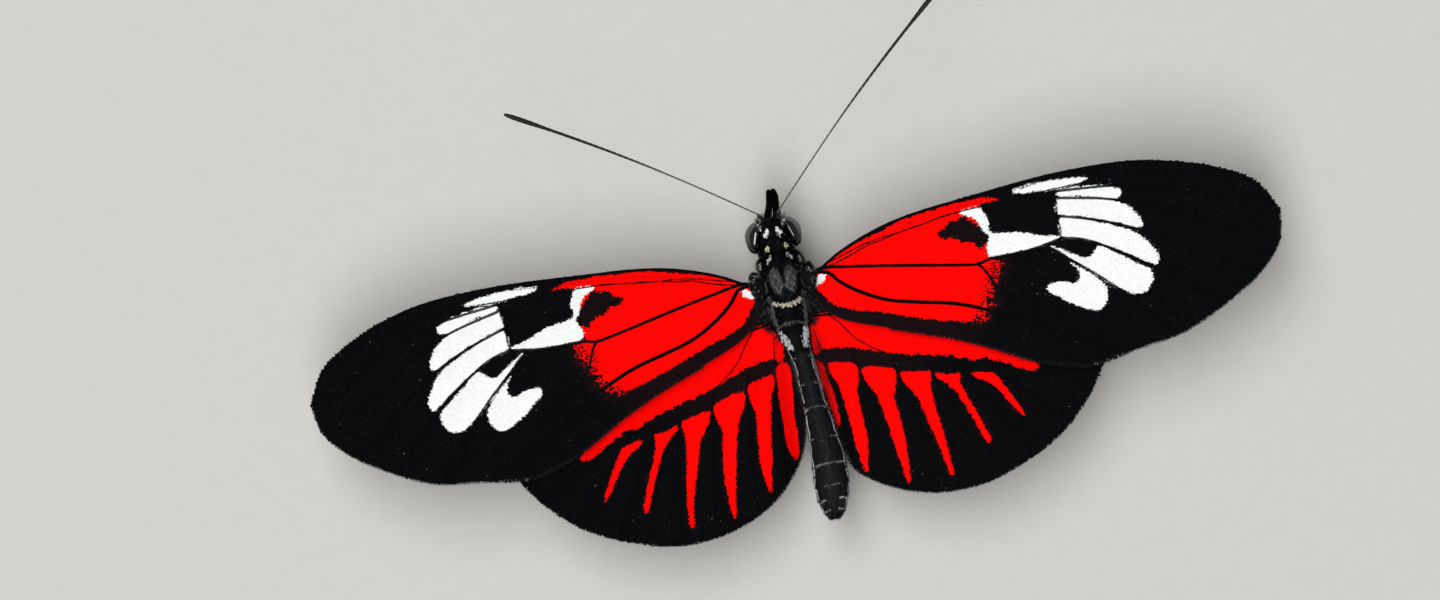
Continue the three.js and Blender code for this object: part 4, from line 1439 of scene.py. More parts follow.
@dataclass
class Body:
    """Head, neck, thorax and abdomen under one skin, with its scales and its pile."""

    sides: int = 96
    scale_row: float = 0.19
    scale_pitch: float = 0.15
    pile_count: int = 9500
    # How many white scales or hairs a square millimetre of mark has
    mark_density: float = 420.0
    side_line_hairs: int = 5600
    # How many hairs a line across the abdomen has for each radian of its turn
    cross_line_hairs: int = 260
    tail_hairs: int = 420
    # How far from an eye's middle other tufts start, as a share of the way to its surface
    eye_room: float = 1.06

    def folds(self, y: Array, turn: Array) -> Array:
        """How far the skin swells: each tergite widens to its rear edge and steps in behind it, the thorax
        has a groove along its middle and one across before the scutellum, and the abdomen has a fold along
        each side.

        Args:
            y: The place along Y.
            turn: The turn from the top of the back.

        Returns:
            The swelling, as a share of the half width.
        """
        edges = np.array(TERGITE_EDGES)
        ring = np.clip(np.searchsorted(edges, y, side="right") - 1, 0, len(edges) - 2)
        share = np.clip((edges[ring + 1] - y) / (edges[ring + 1] - edges[ring]), 0, 1)
        on_abdomen = (1 - smoothstep(y, -3.6, -3.3)) * smoothstep(y, -18.4, -17.9)
        rings = 0.055 * (share**1.5 - 0.4) * on_abdomen
        seam = -0.05 * np.exp(-(((np.abs(turn) - 1.75) / 0.14) ** 2)) * on_abdomen
        on_back = np.clip(np.cos(turn), 0, 1)
        scutum = smoothstep(y, -0.9, -0.3) * (1 - smoothstep(y, 1.9, 2.2))
        middle = -0.035 * np.exp(-((turn / 0.09) ** 2)) * scutum
        across = body_row(y)[..., 0] * np.sin(turn)
        suture = -0.06 * np.exp(-(((y + 0.78 - 0.3 * across**2) / 0.1) ** 2)) * on_back
        shield = 0.05 * np.exp(-(((y + 1.55) / 0.45) ** 2) - (across / 0.75) ** 2) * on_back
        waist = -0.05 * np.exp(-(((y + 2.3 + 0.25 * across**2) / 0.1) ** 2)) * on_back
        ovals = 0.02 * np.exp(-(((np.abs(across) - 0.6) / 0.33) ** 2) - ((y - 1.2) / 1.0) ** 2) * on_back
        return rings + seam + middle + suture + shield + waist + ovals

    def at(self, y: Array, turn: Array) -> Array:
        """The skin's points: an ellipse of the body's half width and depth, swollen by the folds.

        Args:
            y: The place along Y.
            turn: The turn from the top of the back, to the right.

        Returns:
            The points.
        """
        wide, deep, x, z = np.moveaxis(body_row(y), -1, 0)
        swell = 1 + self.folds(y, turn)
        return np.stack([x + wide * swell * np.sin(turn), y, z + deep * swell * np.cos(turn)], axis=-1)

    def lie(self, y: Array, turn: Array) -> tuple[Array, Array, Array]:
        """How the skin lies, from two short steps.

        Args:
            y: The place along Y.
            turn: The turn from the top of the back.

        Returns:
            The skin's points, the way back along it and the way out of it.
        """
        step = 0.03
        back = unit(self.at(y - step, turn) - self.at(y + step, turn))
        around = self.at(y, turn + step) - self.at(y, turn - step)
        return self.at(y, turn), back, unit(np.cross(back, around))

    def dyes(self, y: Array, turn: Array, stray: float | Array = 0.0) -> Dyes:
        """The markings: how pale and how cream each spot of the body is.

        Args:
            y: The place along Y.
            turn: The turn from the top of the back.
            stray: A number from -1 to 1 of each tuft, or 0 for plain edges.

        Returns:
            The dyes, each from 0 to 1.
        """
        across = np.abs(body_row(y)[..., 0] * np.sin(turn))
        on_back = smoothstep(np.cos(turn), -0.25, 0.0)
        pale, cream = np.zeros(np.shape(y)), np.zeros(np.shape(y))
        for mark in BODY_MARKS:
            gap = distance_to([np.array(mark.points)], across, y)
            cover = on_back * (1 - smoothstep(gap + 0.03 * stray, mark.half_width - 0.06, mark.half_width))
            cover = cover * (0.35 if mark.furry else 1.0)
            pale = np.maximum(pale, mark.pale * cover)
            cream = np.maximum(cream, mark.cream * cover)
        for (x, back), (wide, long), grey in BACK_OVALS:
            gap = np.hypot((across - x - 0.04 * (y - back)) / wide, (y - back) / long) + 0.1 * stray
            streak = 0.9 + 0.35 * wobble(6 * across, 1.5 * y, 1.3)
            pale = np.maximum(pale, grey * streak * on_back * (1 - smoothstep(gap, 0.8, 1.12)))
        aside = np.abs(turn) + 0.05 * stray
        behind = self.behind(y)
        on_seam = 1 - smoothstep(np.abs(aside - self.seam(y)), 0.02, 0.05)
        line = 0.3 * behind * self.broken(y, turn) * on_seam
        hoop = np.min(np.abs(y[..., None] - np.array(TERGITE_EDGES[:6])), axis=-1)
        band = 0.2 * behind * (1 - smoothstep(hoop + 0.03 * stray, 0.04, 0.1)) * smoothstep(aside, -0.2, 0.9)
        dusty = (0.1 + 0.03 * wobble(9 * turn, 0.5 * y, 1.7)) * behind
        belly = 0.5 * behind * (1 - smoothstep(np.abs(aside - BELLY_MARK_TURN), 0.1, 0.22))
        flank = 0.55 * (1 - smoothstep(np.abs(aside - 2.0 - 0.25 * np.sin(1.9 * y)), 0.07, 0.14))
        flank = flank * smoothstep(y, -2.6, -2.2) * (1 - smoothstep(y, 2.4, 2.8))
        pale = np.max([pale, line, band, dusty, belly, flank], axis=0) ** EYE_POWER
        return {"pale": pale, "cream": np.max([cream, belly / 0.6, flank], axis=0)}

    def behind(self, y: Array) -> Array:
        """1 on the abdomen, and 0 ahead of it and on its last tip."""
        return (1 - smoothstep(y, -4.9, -4.6)) * smoothstep(y, -18.3, -17.9)

    def broken(self, y: Array, turn: Array) -> Array:
        """Where the line along each side of the abdomen shows, as it is broken into unequal dashes."""
        return smoothstep(wobble(y, np.sign(turn) * 3.0 + 0.0 * y, 1.1), -0.8, -0.5)

    def seam(self, y: Array) -> Array:
        """The turn at which the line along each side lies, which sways a little."""
        return 1.2 + 0.07 * np.sin(2.3 * y) + 0.04 * np.sin(5.1 * y)

    def marks(self) -> Shape:
        """The white and cream marks' own scales and hairs, which lie over the black ones: spots are drawn at
        random within each mark's half width of its line, and find their turn from their X, which is the half
        width of the body times the turn's sine.

        Returns:
            All of them as one shape.
        """
        rng = np.random.default_rng(14)
        made = []
        for mark in BODY_MARKS:
            line = np.array(mark.points)
            low, high = line.min(axis=0) - mark.half_width, line.max(axis=0) + mark.half_width
            low[0] = max(low[0], 0.0)
            for side in Side:
                spots = rng.uniform(low, high, (int(self.mark_density * np.prod(high - low)), 2))
                reach = mark.half_width * (1 + mark.wander * wobble(*spots.T * 2.5, 1.0, side.value))
                x, y = spots[distance_to([line], *spots.T) < reach].T
                turn = np.arcsin(np.clip(x / body_row(y)[:, 0], -0.985, 0.985)) * side.value
                pale = mark.pale**EYE_POWER * rng.uniform(0.05 if mark.furry else 0.75, 1.0, len(x))
                made.append(self.mark_tufts(y, turn, pale, mark, rng))
        return joined(made)

    def mark_tufts(self, y: Array, turn: Array, pale: Array, mark: Mark, rng: np.random.Generator) -> Shape:
        """The scales or hairs of one mark.

        Args:
            y: The place along Y of each.
            turn: The turn of each from the top of the back.
            pale: How pale each is.
            mark: The mark.
            rng: The random numbers.

        Returns:
            All of them as one shape.
        """
        point, back, out = self.lie(y, turn)
        count = len(y)
        aside = np.cross(out, back) * rng.normal(0, 0.2, (count, 1))
        dyes = dyed(count, pale=pale, cream=mark.cream, tone=rng.uniform(0, 1, count))
        place = self.place(y, turn)
        if mark.furry:
            ahead = unit(back + aside + out * rng.uniform(0.25, 0.6, (count, 1)))
            length = rng.uniform(0.18, 0.32, count)
            return bristles(point + out * 0.05, ahead, -0.3 * out, length, 0.015, place, dyes)
        ahead = unit(back + aside + 0.15 * out)
        start = point + out * (mark.standing + rng.uniform(0.1, 0.15, (count, 1))) - back * 0.05
        return shingles(start, ahead, out, rng.uniform(0.1, 0.14, count), 0.055, 0.14, place, dyes)

    def side_lines(self) -> Shape:
        """The broken white line along each side of the abdomen, and the thin lines across its back at the
        rear edges of tergites: hair that lies back and stands off a little.

        Returns:
            The hairs as one shape.
        """
        rng = np.random.default_rng(15)
        y = rng.uniform(-18.1, -4.6, self.side_line_hairs)
        turn = (self.seam(y) + rng.normal(0, 0.03, len(y))) * rng.choice([-1, 1], len(y))
        keep = self.broken(y, turn) > rng.uniform(0.2, 0.8, len(y))
        y, turn = y[keep], turn[keep]
        pale = rng.uniform(0.25, 1.0, len(y)) * (0.75 + 0.25 * wobble(y, turn, 1.7))
        # The line shows less on the right, on the inside of the bend
        pale = pale * np.where(turn > 0, 0.7, 1.0)
        for edge, inner, outer, shade in CROSS_LINES:
            many = int(self.cross_line_hairs * (outer - inner))
            around = rng.uniform(inner, outer, many) * rng.choice([-1, 1], many)
            worn = np.clip(0.8 + 0.7 * wobble(around * 2, np.full(many, edge), 1.3), 0, 1)
            y = np.append(y, edge + 0.1 + 0.1 * np.cos(2 * around) + rng.normal(0, 0.025, many))
            turn = np.append(turn, around)
            pale = np.append(pale, shade**EYE_POWER * worn * rng.uniform(0.3, 1.0, many))
        point, back, out = self.lie(y, turn)
        count = len(y)
        dyes = dyed(count, pale=pale, cream=0, tone=rng.uniform(0, 1, count))
        ahead = unit(back + out * rng.uniform(0.1, 0.4, (count, 1)) + rng.normal(0, 0.08, (count, 3)))
        length = rng.uniform(0.14, 0.22, count)
        return bristles(point + 0.04 * out, ahead, -0.3 * out, length, 0.015, self.place(y, turn), dyes)

    def clear_of_eyes(self, points: Array) -> Array:
        """True for points that no eye covers, with a little room."""
        return np.min([Eye(side).depth(points) for side in Side], axis=0) > self.eye_room

    def place(self, y: Array, turn: Array) -> Array:
        """Places on the baking map: the skin unrolled round its length."""
        return plan_place(MAP_SPAN / 2 + 1.3 * turn, y)

    def skin(self) -> Shape:
        """The skin, as rings along the body that are closer where it bends more.

        Returns:
            The closed shape.
        """
        stretches = ((-18.55, -18.2, 8), (-18.2, -2.8, 190), (-2.8, 5.7, 130))
        y = [np.linspace(*stretch, endpoint=False) for stretch in stretches]
        y = np.concatenate([*y, np.linspace(5.7, 6.0, 12)])
        turn = np.linspace(-math.pi, math.pi, self.sides, endpoint=False)
        along, around = np.meshgrid(y, turn, indexing="ij")
        shape = loft(self.at(along, around))
        y, turn = np.append(along.ravel(), y[[0, -1]]), np.append(around.ravel(), [0.0, 0.0])
        shape.dyes = self.dyes(y, turn) | {"tone": 0.5 + 0.5 * wobble(y, turn * 1.3, 0.7)}
        return shape

    def scales(self) -> Shape:
        """Scales in rings round the body that lie backwards like tiles.

        Returns:
            The scales as one shape.
        """
        rng = np.random.default_rng(11)
        rows = np.arange(-18.25, 5.75, self.scale_row)
        size = body_row(rows)
        girth = 2 * math.pi * np.sqrt((size[:, 0] ** 2 + size[:, 1] ** 2) / 2)
        fit = np.maximum(np.round(girth / self.scale_pitch), 6)
        steps = np.arange(int(fit.max()))
        real = steps[None] < fit[:, None]
        odd = (np.arange(len(rows)) % 2)[:, None] / 2
        turn = ((steps[None] + odd) / fit[:, None] * 2 - 1) * math.pi
        y = np.broadcast_to(rows[:, None], turn.shape)[real]
        y = y + rng.uniform(-0.25, 0.25, real.sum()) * self.scale_row
        turn = turn[real] + rng.uniform(-0.02, 0.02, real.sum())
        point, back, out = self.lie(y, turn)
        keep = self.clear_of_eyes(point)
        y, turn, point, back, out = (values[keep] for values in (y, turn, point, back, out))
        count = len(y)
        dyes = self.dyes(y, turn, rng.uniform(-1, 1, count)) | {"tone": rng.uniform(0, 1, count)}
        ahead = unit(back + np.cross(out, back) * rng.normal(0, 0.12, (count, 1)))
        length = rng.uniform(0.26, 0.34, count)
        width = self.scale_pitch * rng.uniform(1.05, 1.3, count)
        return shingles(point + out * 0.01, ahead, out, length, width, 0.16, self.place(y, turn), dyes)

    def pile(self) -> Shape:
        """Hair over the head, neck and thorax and round the abdomen's base: it lies back and stands off a
        little, is longest on the sides, and points forward on the face.

        Returns:
            The hairs as one shape.
        """
        rng = np.random.default_rng(12)
        y = rng.uniform(-4.9, 5.98, self.pile_count * 3)
        turn = rng.uniform(-math.pi, math.pi, len(y))
        size = body_row(y)[:, 0]
        point, back, out = self.lie(y, turn)
        thick = np.where(y < -3.1, 0.6, 1.0)
        keep = (rng.uniform(0, 1.9, len(y)) < size * thick) & self.clear_of_eyes(point)
        keep = np.flatnonzero(keep)[: self.pile_count]
        y, turn, point, back, out = (values[keep] for values in (y, turn, point, back, out))
        count = len(y)
        dyes = self.dyes(y, turn, rng.uniform(-1, 1, count))
        bare = dyes["pale"] > 0.12
        # Painted glints: one hair in forty is made pale grey, standing in for shine
        glint = rng.uniform(0, 1, count) < 0.025
        dyes["pale"] = np.maximum(np.minimum(dyes["pale"], 0.04), np.where(glint, 0.12, 0))
        forward = smoothstep(y, 4.7, 5.5)[:, None]
        flank = smoothstep(np.abs(turn), 0.9, 1.5)
        stand = np.where(y > 3.2, 0.75, 0.38) + 0.25 * flank
        flow = back * (1 - 1.9 * forward) + np.cross(out, back) * rng.normal(0, 0.2, (count, 1))
        ahead = unit(flow + out * (stand * rng.uniform(0.6, 1.3, count))[:, None])
        length = (0.34 + 0.34 * flank + 0.1 * (y > 2.3)) * rng.uniform(0.7, 1.2, count)
        length = length * np.where(bare, 0.3, 1.0)
        bend = -0.35 * out + 0.25 * back * (1 - 2 * forward)
        radius = rng.uniform(0.014, 0.022, count)
        return bristles(point, ahead, bend, length, radius, self.place(y, turn),
                        dyes | {"tone": rng.uniform(0, 1, count)})

    def tail_tuft(self) -> Shape:
        """A short brush of hair at the end of the abdomen.

        Returns:
            The hairs as one shape.
        """
        rng = np.random.default_rng(13)
        count = self.tail_hairs
        y, turn = rng.uniform(-18.5, -17.2, count), rng.uniform(-math.pi, math.pi, count)
        point, back, out = self.lie(y, turn)
        tip = smoothstep(-y, 17.2, 18.4)[:, None]
        ahead = unit(back * (1 - tip) + np.array([[0.0, -1.0, 0.0]]) * tip + out * 0.25)
        dyes = self.dyes(y, turn, rng.uniform(-1, 1, count)) | {"tone": rng.uniform(0, 1, count)}
        dyes["pale"] = np.maximum(dyes["pale"], np.where(rng.uniform(0, 1, count) < 0.1, 0.15, 0.0))
        length = rng.uniform(0.2, 0.38, count)
        return bristles(point, ahead, -0.3 * out, length, 0.018, self.place(y, turn), dyes)

    def build(self, finishes: Finishes) -> None:
        """Makes every piece of the body.

        Args:
            finishes: The materials by name.
        """
        whole, abdomen = ("head", "prothorax", "thorax", "abdomen"), ("abdomen",)
        for name, shape, finish, nodes, smooth in (
            ("body_skin", self.skin(), "skin", whole, True),
            ("body_scales", self.scales(), "body scales", whole, False),
            ("body_pile", self.pile(), "pile", whole, True),
            ("body_marks", self.marks(), "pile", whole, False),
            ("abdomen_side_lines", self.side_lines(), "pile", abdomen, True),
            ("abdomen_tuft", self.tail_tuft(), "pile", abdomen, True),
        ):
            shape.piece(name, finishes[finish], "body_hair", nodes, smooth)


def sleeve(path: Array, radius: Array, row: float, pitch: float, rng: np.random.Generator
           ) -> tuple[Array, Array, Array, Array, Array]:
    """Spots on a round limb, in rings a row apart, with a pitch between neighbours.

    Args:
        path: The limb's middle, from its root out.
        radius: Its radius at each spot of the path.
        row: The way between rings.
        pitch: The way between neighbours on the thickest ring.
        rng: The random numbers.

    Returns:
        The spots, the way along the limb, the way out of it, the share of its length and the turn round it.
    """
    reach = np.concatenate([[0.0], np.cumsum(np.linalg.norm(np.diff(path, axis=0), axis=1))])
    rings = max(2, int(reach[-1] / row))
    around = max(5, int(2 * math.pi * float(np.max(radius)) / pitch))
    step = np.linspace(0.02, 0.98, rings)[:, None] + rng.uniform(-0.3, 0.3, (rings, around)) / rings
    share = np.clip(step, 0.0, 1.0).ravel()
    turn = (np.arange(around)[None] + (np.arange(rings) % 2)[:, None] / 2) * 2 * math.pi / around
    turn = turn.ravel() + rng.uniform(-0.1, 0.1, rings * around)
    spot = np.column_stack([np.interp(share * reach[-1], reach, column) for column in path.T])
    slope = np.gradient(path, reach, axis=0)
    ahead = unit(np.column_stack([np.interp(share * reach[-1], reach, column) for column in slope.T]))
    across = unit(np.cross(ahead, np.array([[0.0, 0.0, 1.0]])))
    over = np.cross(across, ahead)
    out = across * np.cos(turn)[:, None] + over * np.sin(turn)[:, None]
    girth = np.interp(share * reach[-1], reach, np.broadcast_to(radius, len(path)))
    return spot + out * girth[:, None], ahead, out, share, turn


def rolled(share: Array, turn: Array, girth: float, reach: float, corner: tuple[float, float]) -> Array:
    """Places on the baking map for a limb: its surface unrolled, with a corner of its own."""
    return np.column_stack([corner[0] + girth * turn / MAP_SPAN, corner[1] + reach * share / MAP_SPAN])


@dataclass
class Eye:
    """A compound eye: a dome that is full on the outside and flatter where it meets the head."""

    side: Side
    inner_share: float = 0.38
    rings: int = 56
    sides: int = 72
    # How far the dome's ridge moves outwards for each millimetre backwards
    lean: float = 0.34

    @property
    def node(self) -> str:
        """The CAD node that the eye stands for."""
        return f"eye_{self.side.word}"

    def size(self) -> tuple[Array, Array]:
        """The eye's size, from its box in the frame.

        Returns:
            Its middle and its three half axes, as on the right side.
        """
        low, high = ((np.array(corner) - ORIGIN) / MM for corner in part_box(self.node))
        wide = (high[0] - low[0]) / (1 + self.inner_share)
        inner = min(abs(low[0]), abs(high[0]))
        middle = np.array([inner + self.inner_share * wide, (low[1] + high[1]) / 2, (low[2] + high[2]) / 2])
        return middle, np.array([wide, (high[1] - low[1]) / 2, (high[2] - low[2]) / 2])

    def depth(self, points: Array) -> Array:
        """How far points lie from the eye's middle.

        Args:
            points: The points, on their own side.

        Returns:
            The way to each as a share of the way to the eye's surface.
        """
        middle, radii = self.size()
        away = (points * np.array([self.side.value, 1, 1]) - middle) / radii
        away[:, 0] /= np.where(away[:, 0] > 0, 1, self.inner_share)
        return np.linalg.norm(away, axis=1)

    def shape(self) -> Shape:
        """The dome: rings round the X axis, as on a globe, with half the X axis shortened.

        Returns:
            The closed shape.
        """
        middle, radii = self.size()
        polar = np.linspace(0.02, math.pi - 0.02, self.rings)[:, None]
        turn = np.linspace(0, 2 * math.pi, self.sides, endpoint=False)[None]
        out = np.cos(polar) * np.where(np.cos(polar) > 0, radii[0], radii[0] * self.inner_share)
        ball = [out + 0 * turn, radii[1] * np.sin(polar) * np.cos(turn),
                radii[2] * np.sin(polar) * np.sin(turn)]
        rings = middle + np.stack(ball, axis=-1)
        back = middle[1] - rings[..., 1]
        rings[..., 0] += self.lean * back * np.sin(polar) ** 2 * (1 - 0.6 * (back / radii[1]) ** 2)
        return loft(rings).mirrored(self.side)

    def build(self, finishes: Finishes) -> None:
        """Makes the eye."""
        self.shape().piece(f"{self.node}_dome", finishes["eye"], "eye", (self.node,))


# How far each antenna is turned from straight ahead, in degrees
ANTENNA_ANGLE = {Side.LEFT: 57.1, Side.RIGHT: 47.2}


@dataclass
class Antenna:
    """An antenna: two knobs at the head, a fine ringed rod, and a slender club."""

    side: Side
    base: tuple[float, float, float] = (0.68, 6.3, 7.0)
    socket: tuple[float, float, float] = (0.55, 5.7, 6.3)
    reach: float = 21.8
    lift: float = 12.0
    bow: float = 0.35
    shaft: float = 0.06
    club: float = 0.19
    club_share: float = 0.2
    # The real rod has about 40 joints
    joints: int = 44
    sides: int = 12

    def path(self, share: Array) -> Array:
        """The rod's middle: straight out at the antenna's angle, bowed to the side by a sine, and rising
        less and less.

        Args:
            share: Shares of its length.

        Returns:
            The spot at each share.
        """
        angle = math.radians(ANTENNA_ANGLE[self.side])
        out = np.array([math.sin(angle), math.cos(angle), 0.0])
        aside = np.array([-math.cos(angle), math.sin(angle), 0.0])
        spot = np.array(self.base) + self.reach * share[:, None] * out
        spot = spot + self.bow * np.sin(math.pi * share)[:, None] * aside
        spot[:, 2] += math.tan(math.radians(self.lift)) * self.reach * share * (1 - 0.18 * share)
        return spot

    def rod(self) -> Shape:
        """The rod and club: a tube whose radius grows from shaft to club and swells a little at each joint.

        Returns:
            The closed tube.
        """
        share = np.linspace(0, 1, 5 * self.joints + 1)
        grow = smoothstep(share, 1 - self.club_share, 1 - 0.35 * self.club_share)
        thicker = self.shaft * (1 + 0.9 * smoothstep(share, 0.25, 0.8))
        end = np.sqrt(np.clip(1 - ((share - 0.955) / 0.05).clip(0) ** 2, 0.02, 1))
        ring = 1 + 0.09 * np.abs(np.sin(math.pi * self.joints * share)) ** 0.5 - 0.05
        radius = (thicker * (1 - grow) + self.club * grow) * end * ring
        shape = tube(self.path(share), radius, radius, self.sides)
        along = np.append(np.repeat(share, self.sides), [0, 1])
        seam = 1 - np.abs(np.sin(math.pi * self.joints * along)) ** 0.4
        grey = 0.25 * (1 - smoothstep(along, 0.3, 0.55))
        pale = np.clip(grey + 0.2 * seam * (1 - smoothstep(along, 0.5, 0.8)), 0, 1)
        shape.dyes = dyed(len(along), pale=pale, cream=0.4, tone=0.5)
        return shape.mirrored(self.side)

    def knobs(self) -> Shape:
        """The two knobs, scape and pedicel: swellings on a short stalk from the head to the rod.

        Returns:
            The closed stalk.
        """
        share = np.linspace(0, 1, 30)
        stalk = np.array(self.socket) * (1 - share[:, None]) + self.path(np.array([0.012])) * share[:, None]
        scape, pedicel = (np.exp(-(((share - spot) / 0.2) ** 2)) for spot in (0.2, 0.75))
        radius = 0.06 + 0.1 * scape + 0.12 * pedicel
        shape = tube(stalk, radius, radius, 16, up=(1.0, 0.0, 0.0))
        shape.dyes = dyed(len(shape.points), pale=0.04, cream=0.2, tone=0.6)
        return shape.mirrored(self.side)

    def build(self, finishes: Finishes) -> None:
        """Makes the antenna."""
        node = f"antenna_{self.side.word}"
        joined([self.rod(), self.knobs()]).piece(f"{node}_rod", finishes["horn"], "antenna_cuticle", (node,))


@dataclass
class Palp:
    """A palp: a blunt scaly finger that curves up in front of the face, brushed with bristles. Both lean to
    the insect's right, as far as lean says at each point."""

    side: Side
    points: tuple = ((0.42, 5.75, 4.75), (0.34, 6.35, 4.98), (0.26, 7.0, 5.45), (0.24, 7.6, 6.1),
                     (0.19, 8.0, 6.65))
    lean: tuple = (0.1, 0.26, 0.42, 0.5, 0.48)
    radius: float = 0.24

    def build(self, finishes: Finishes) -> None:
        """Makes the palp's core, and its scales and bristles as one cover.

        Args:
            finishes: The materials by name.
        """
        rng = np.random.default_rng(30 + self.side.value)
        rows = np.array(self.points)
        rows[:, 0] += np.array(self.lean) * self.side.value
        path = smooth_path(rows, 40)
        share = np.linspace(0, 1, 40)
        blunt = np.sqrt(np.clip(1 - ((share - 0.9) / 0.105).clip(0) ** 2, 0.03, 1))
        radius = self.radius * (1 - 0.4 * share**3) * blunt
        core = tube(path, 0.85 * radius, radius, 14)
        core.dyes = dyed(len(core.points), pale=0, cream=0, tone=0.4)
        node = f"palp_{self.side.word}"
        core.mirrored(self.side).piece(f"{node}_core", finishes["skin"], "body_hair", (node,))
        spot, ahead, out, along, turn = sleeve(path, 0.95 * radius, 0.13, 0.12, rng)
        count = len(spot)
        pale = 0.5 * (rng.uniform(0, 1, count) < 0.7) * (np.cos(turn) > 0.3) * (along < 0.45)
        pale = pale * (np.sin(turn) < -0.2)
        dyes = dyed(count, pale=pale, cream=0.6, tone=rng.uniform(0, 1, count))
        place = rolled(along, turn, 0.2, 3.4, (0.1, 0.1))
        scales = shingles(spot, ahead, out, 0.26, 0.13, 0.22, place, dyes)
        spot, ahead, out, along, turn = sleeve(path, 0.9 * radius, 0.1, 0.15, rng)
        count = len(spot)
        under = np.clip(-np.sin(turn), 0, 1)
        stand = unit(ahead + out * (0.3 + 0.5 * under)[:, None] + rng.normal(0, 0.1, (count, 3)))
        pale = 0.06 * (rng.uniform(0, 1, count) < 0.2)
        dyes = dyed(count, pale=pale, cream=0, tone=rng.uniform(0, 1, count))
        place = rolled(along, turn, 0.2, 3.4, (0.2, 0.1))
        length = (0.26 + 0.3 * under) * (1 - 0.4 * along)
        hair = bristles(spot, stand, 0.4 * ahead, length, 0.016, place, dyes)
        cover = joined([scales, hair]).mirrored(self.side)
        cover.piece(f"{node}_scales", finishes["pile"], "body_hair", (node,), smooth=False)


@dataclass
class Tongue:
    """The tongue, coiled like a watch spring under the face: two fused tubes that taper inwards."""

    centre: tuple[float, float] = (6.15, 3.85)
    lead: tuple = ((0.0, 5.55, 5.0), (0.0, 5.62, 4.78))
    outer: float = 0.68
    inner: float = 0.12
    turns: float = 3.25
    radius: float = 0.085

    def build(self, finishes: Finishes) -> None:
        """Makes the tongue: from the mouth it drops to the coil, whose radius shrinks evenly as it turns.

        Args:
            finishes: The materials by name.
        """
        share = np.linspace(0, 1, 190)
        turn = math.radians(115) + 2 * math.pi * self.turns * share
        radius = self.outer + (self.inner - self.outer) * share**0.9
        y, z = self.centre
        coil = np.column_stack([0 * share, y + radius * np.cos(turn), z + radius * np.sin(turn)])
        path = np.concatenate([smooth_path(np.array([*self.lead, coil[0]]), 12)[:-1], coil])
        thick = self.radius * np.linspace(1, 0.5, len(path))
        ring = 1 + 0.05 * np.abs(np.sin(np.arange(len(path)) * 1.7))
        shape = tube(path, thick * 1.5, thick * ring, 12, up=(1.0, 0.0, 0.0))
        shape.dyes = dyed(len(shape.points), pale=0.05, cream=1, tone=0.8)
        shape.piece("proboscis_coil", finishes["horn"], "antenna_cuticle", ("proboscis",))


@dataclass
class Tegula:
    """The lobe that covers the wing's root: a low scaly dome with hair along it."""

    side: Side
    centre: tuple[float, float, float] = (2.1, 0.95, 7.4)
    radii: tuple[float, float, float] = (0.5, 1.0, 0.5)
    underside: float = 0.12
    tufts: int = 800

    def spot(self, polar: Array, turn: Array) -> Array:
        """The dome's points: an ellipsoid, flattened below.

        Args:
            polar: The angle of each from the top.
            turn: Its turn round the top.

        Returns:
            The points.
        """
        down = np.where(np.cos(polar) > 0, self.radii[2], self.underside)
        ball = [self.radii[0] * np.sin(polar) * np.cos(turn), self.radii[1] * np.sin(polar) * np.sin(turn),
                down * np.cos(polar)]
        return np.array(self.centre) + np.stack(ball, axis=-1)

    def build(self, finishes: Finishes) -> None:
        """Makes the dome and its cover of scales and hair.

        Args:
            finishes: The materials by name.
        """
        rng = np.random.default_rng(50 + self.side.value)
        node = f"tegula_{self.side.word}"
        polar, turn = np.linspace(0.03, math.pi - 0.03, 24), np.linspace(0, 2 * math.pi, 32, endpoint=False)
        dome = loft(self.spot(*np.meshgrid(polar, turn, indexing="ij")))
        dome.dyes = dyed(len(dome.points), pale=0, cream=0, tone=0.4)
        dome.mirrored(self.side).piece(f"{node}_lobe", finishes["skin"], "body_hair", (node,))
        count = self.tufts
        point = self.spot(np.arccos(rng.uniform(0.02, 1, count)), rng.uniform(0, 2 * math.pi, count))
        out = unit((point - np.array(self.centre)) / np.array(self.radii) ** 2)
        flat = along_surface(np.array([[0.35, -0.9, 0.0]]) + rng.normal(0, 0.12, (count, 3)), out)
        place = np.column_stack([0.8 + 0.02 * point[:, 0], 0.7 + 0.02 * point[:, 1]])
        # Painted glints: a few scales and hairs are made pale, standing in for shine, more often near two
        # spots
        glint_spots = [np.array([[1.95, 1.75], [2.35, 1.5]]), np.array([[2.2, 0.85], [2.3, 0.75]])]
        chance = np.where(distance_to(glint_spots, point[:, 0], point[:, 1]) < 0.2, 0.14, 0.015)
        glint = (rng.uniform(0, 1, count) < chance) * 0.25
        pale = np.maximum(glint, 0.01 * rng.uniform(0, 1, count))
        dyes = dyed(count, pale=pale, cream=0, tone=rng.uniform(0, 1, count))
        scales = shingles(point, flat, out, 0.32, 0.17, 0.15, place, dyes)
        length = rng.uniform(0.3, 0.55, count)
        hair = bristles(point, unit(flat + 0.5 * out), -0.3 * out, length, 0.016, place, dyes)
        cover = joined([scales, hair]).mirrored(self.side)
        cover.piece(f"{node}_hair", finishes["pile"], "body_hair", (node,), smooth=False)


class LegPair(Enum):
    """The three pairs of legs, with the word in their nodes' names."""

    FORE = "foreleg"
    MID = "midleg"
    HIND = "hindleg"


# The joints of each leg, from the hip out
LEG_JOINTS = {
    LegPair.MID: ((1.05, 0.5, 3.75), (1.45, 0.6, 2.65), (5.2, 1.8, 4.7), (8.0, 2.3, 0.42),
                  (11.75, 2.98, 0.16)),
    LegPair.HIND: ((1.05, -1.5, 3.8), (1.45, -1.8, 2.7), (4.9, -5.1, 4.5), (7.1, -8.4, 0.42),
                   (9.15, -12.05, 0.16)),
    LegPair.FORE: ((0.75, 2.3, 4.4), (1.35, 3.3, 3.0), (0.95, 4.55, 3.88)),
}
# The start of each leg's random numbers
LEG_SEEDS = {LegPair.FORE: 70, LegPair.MID: 75, LegPair.HIND: 76}


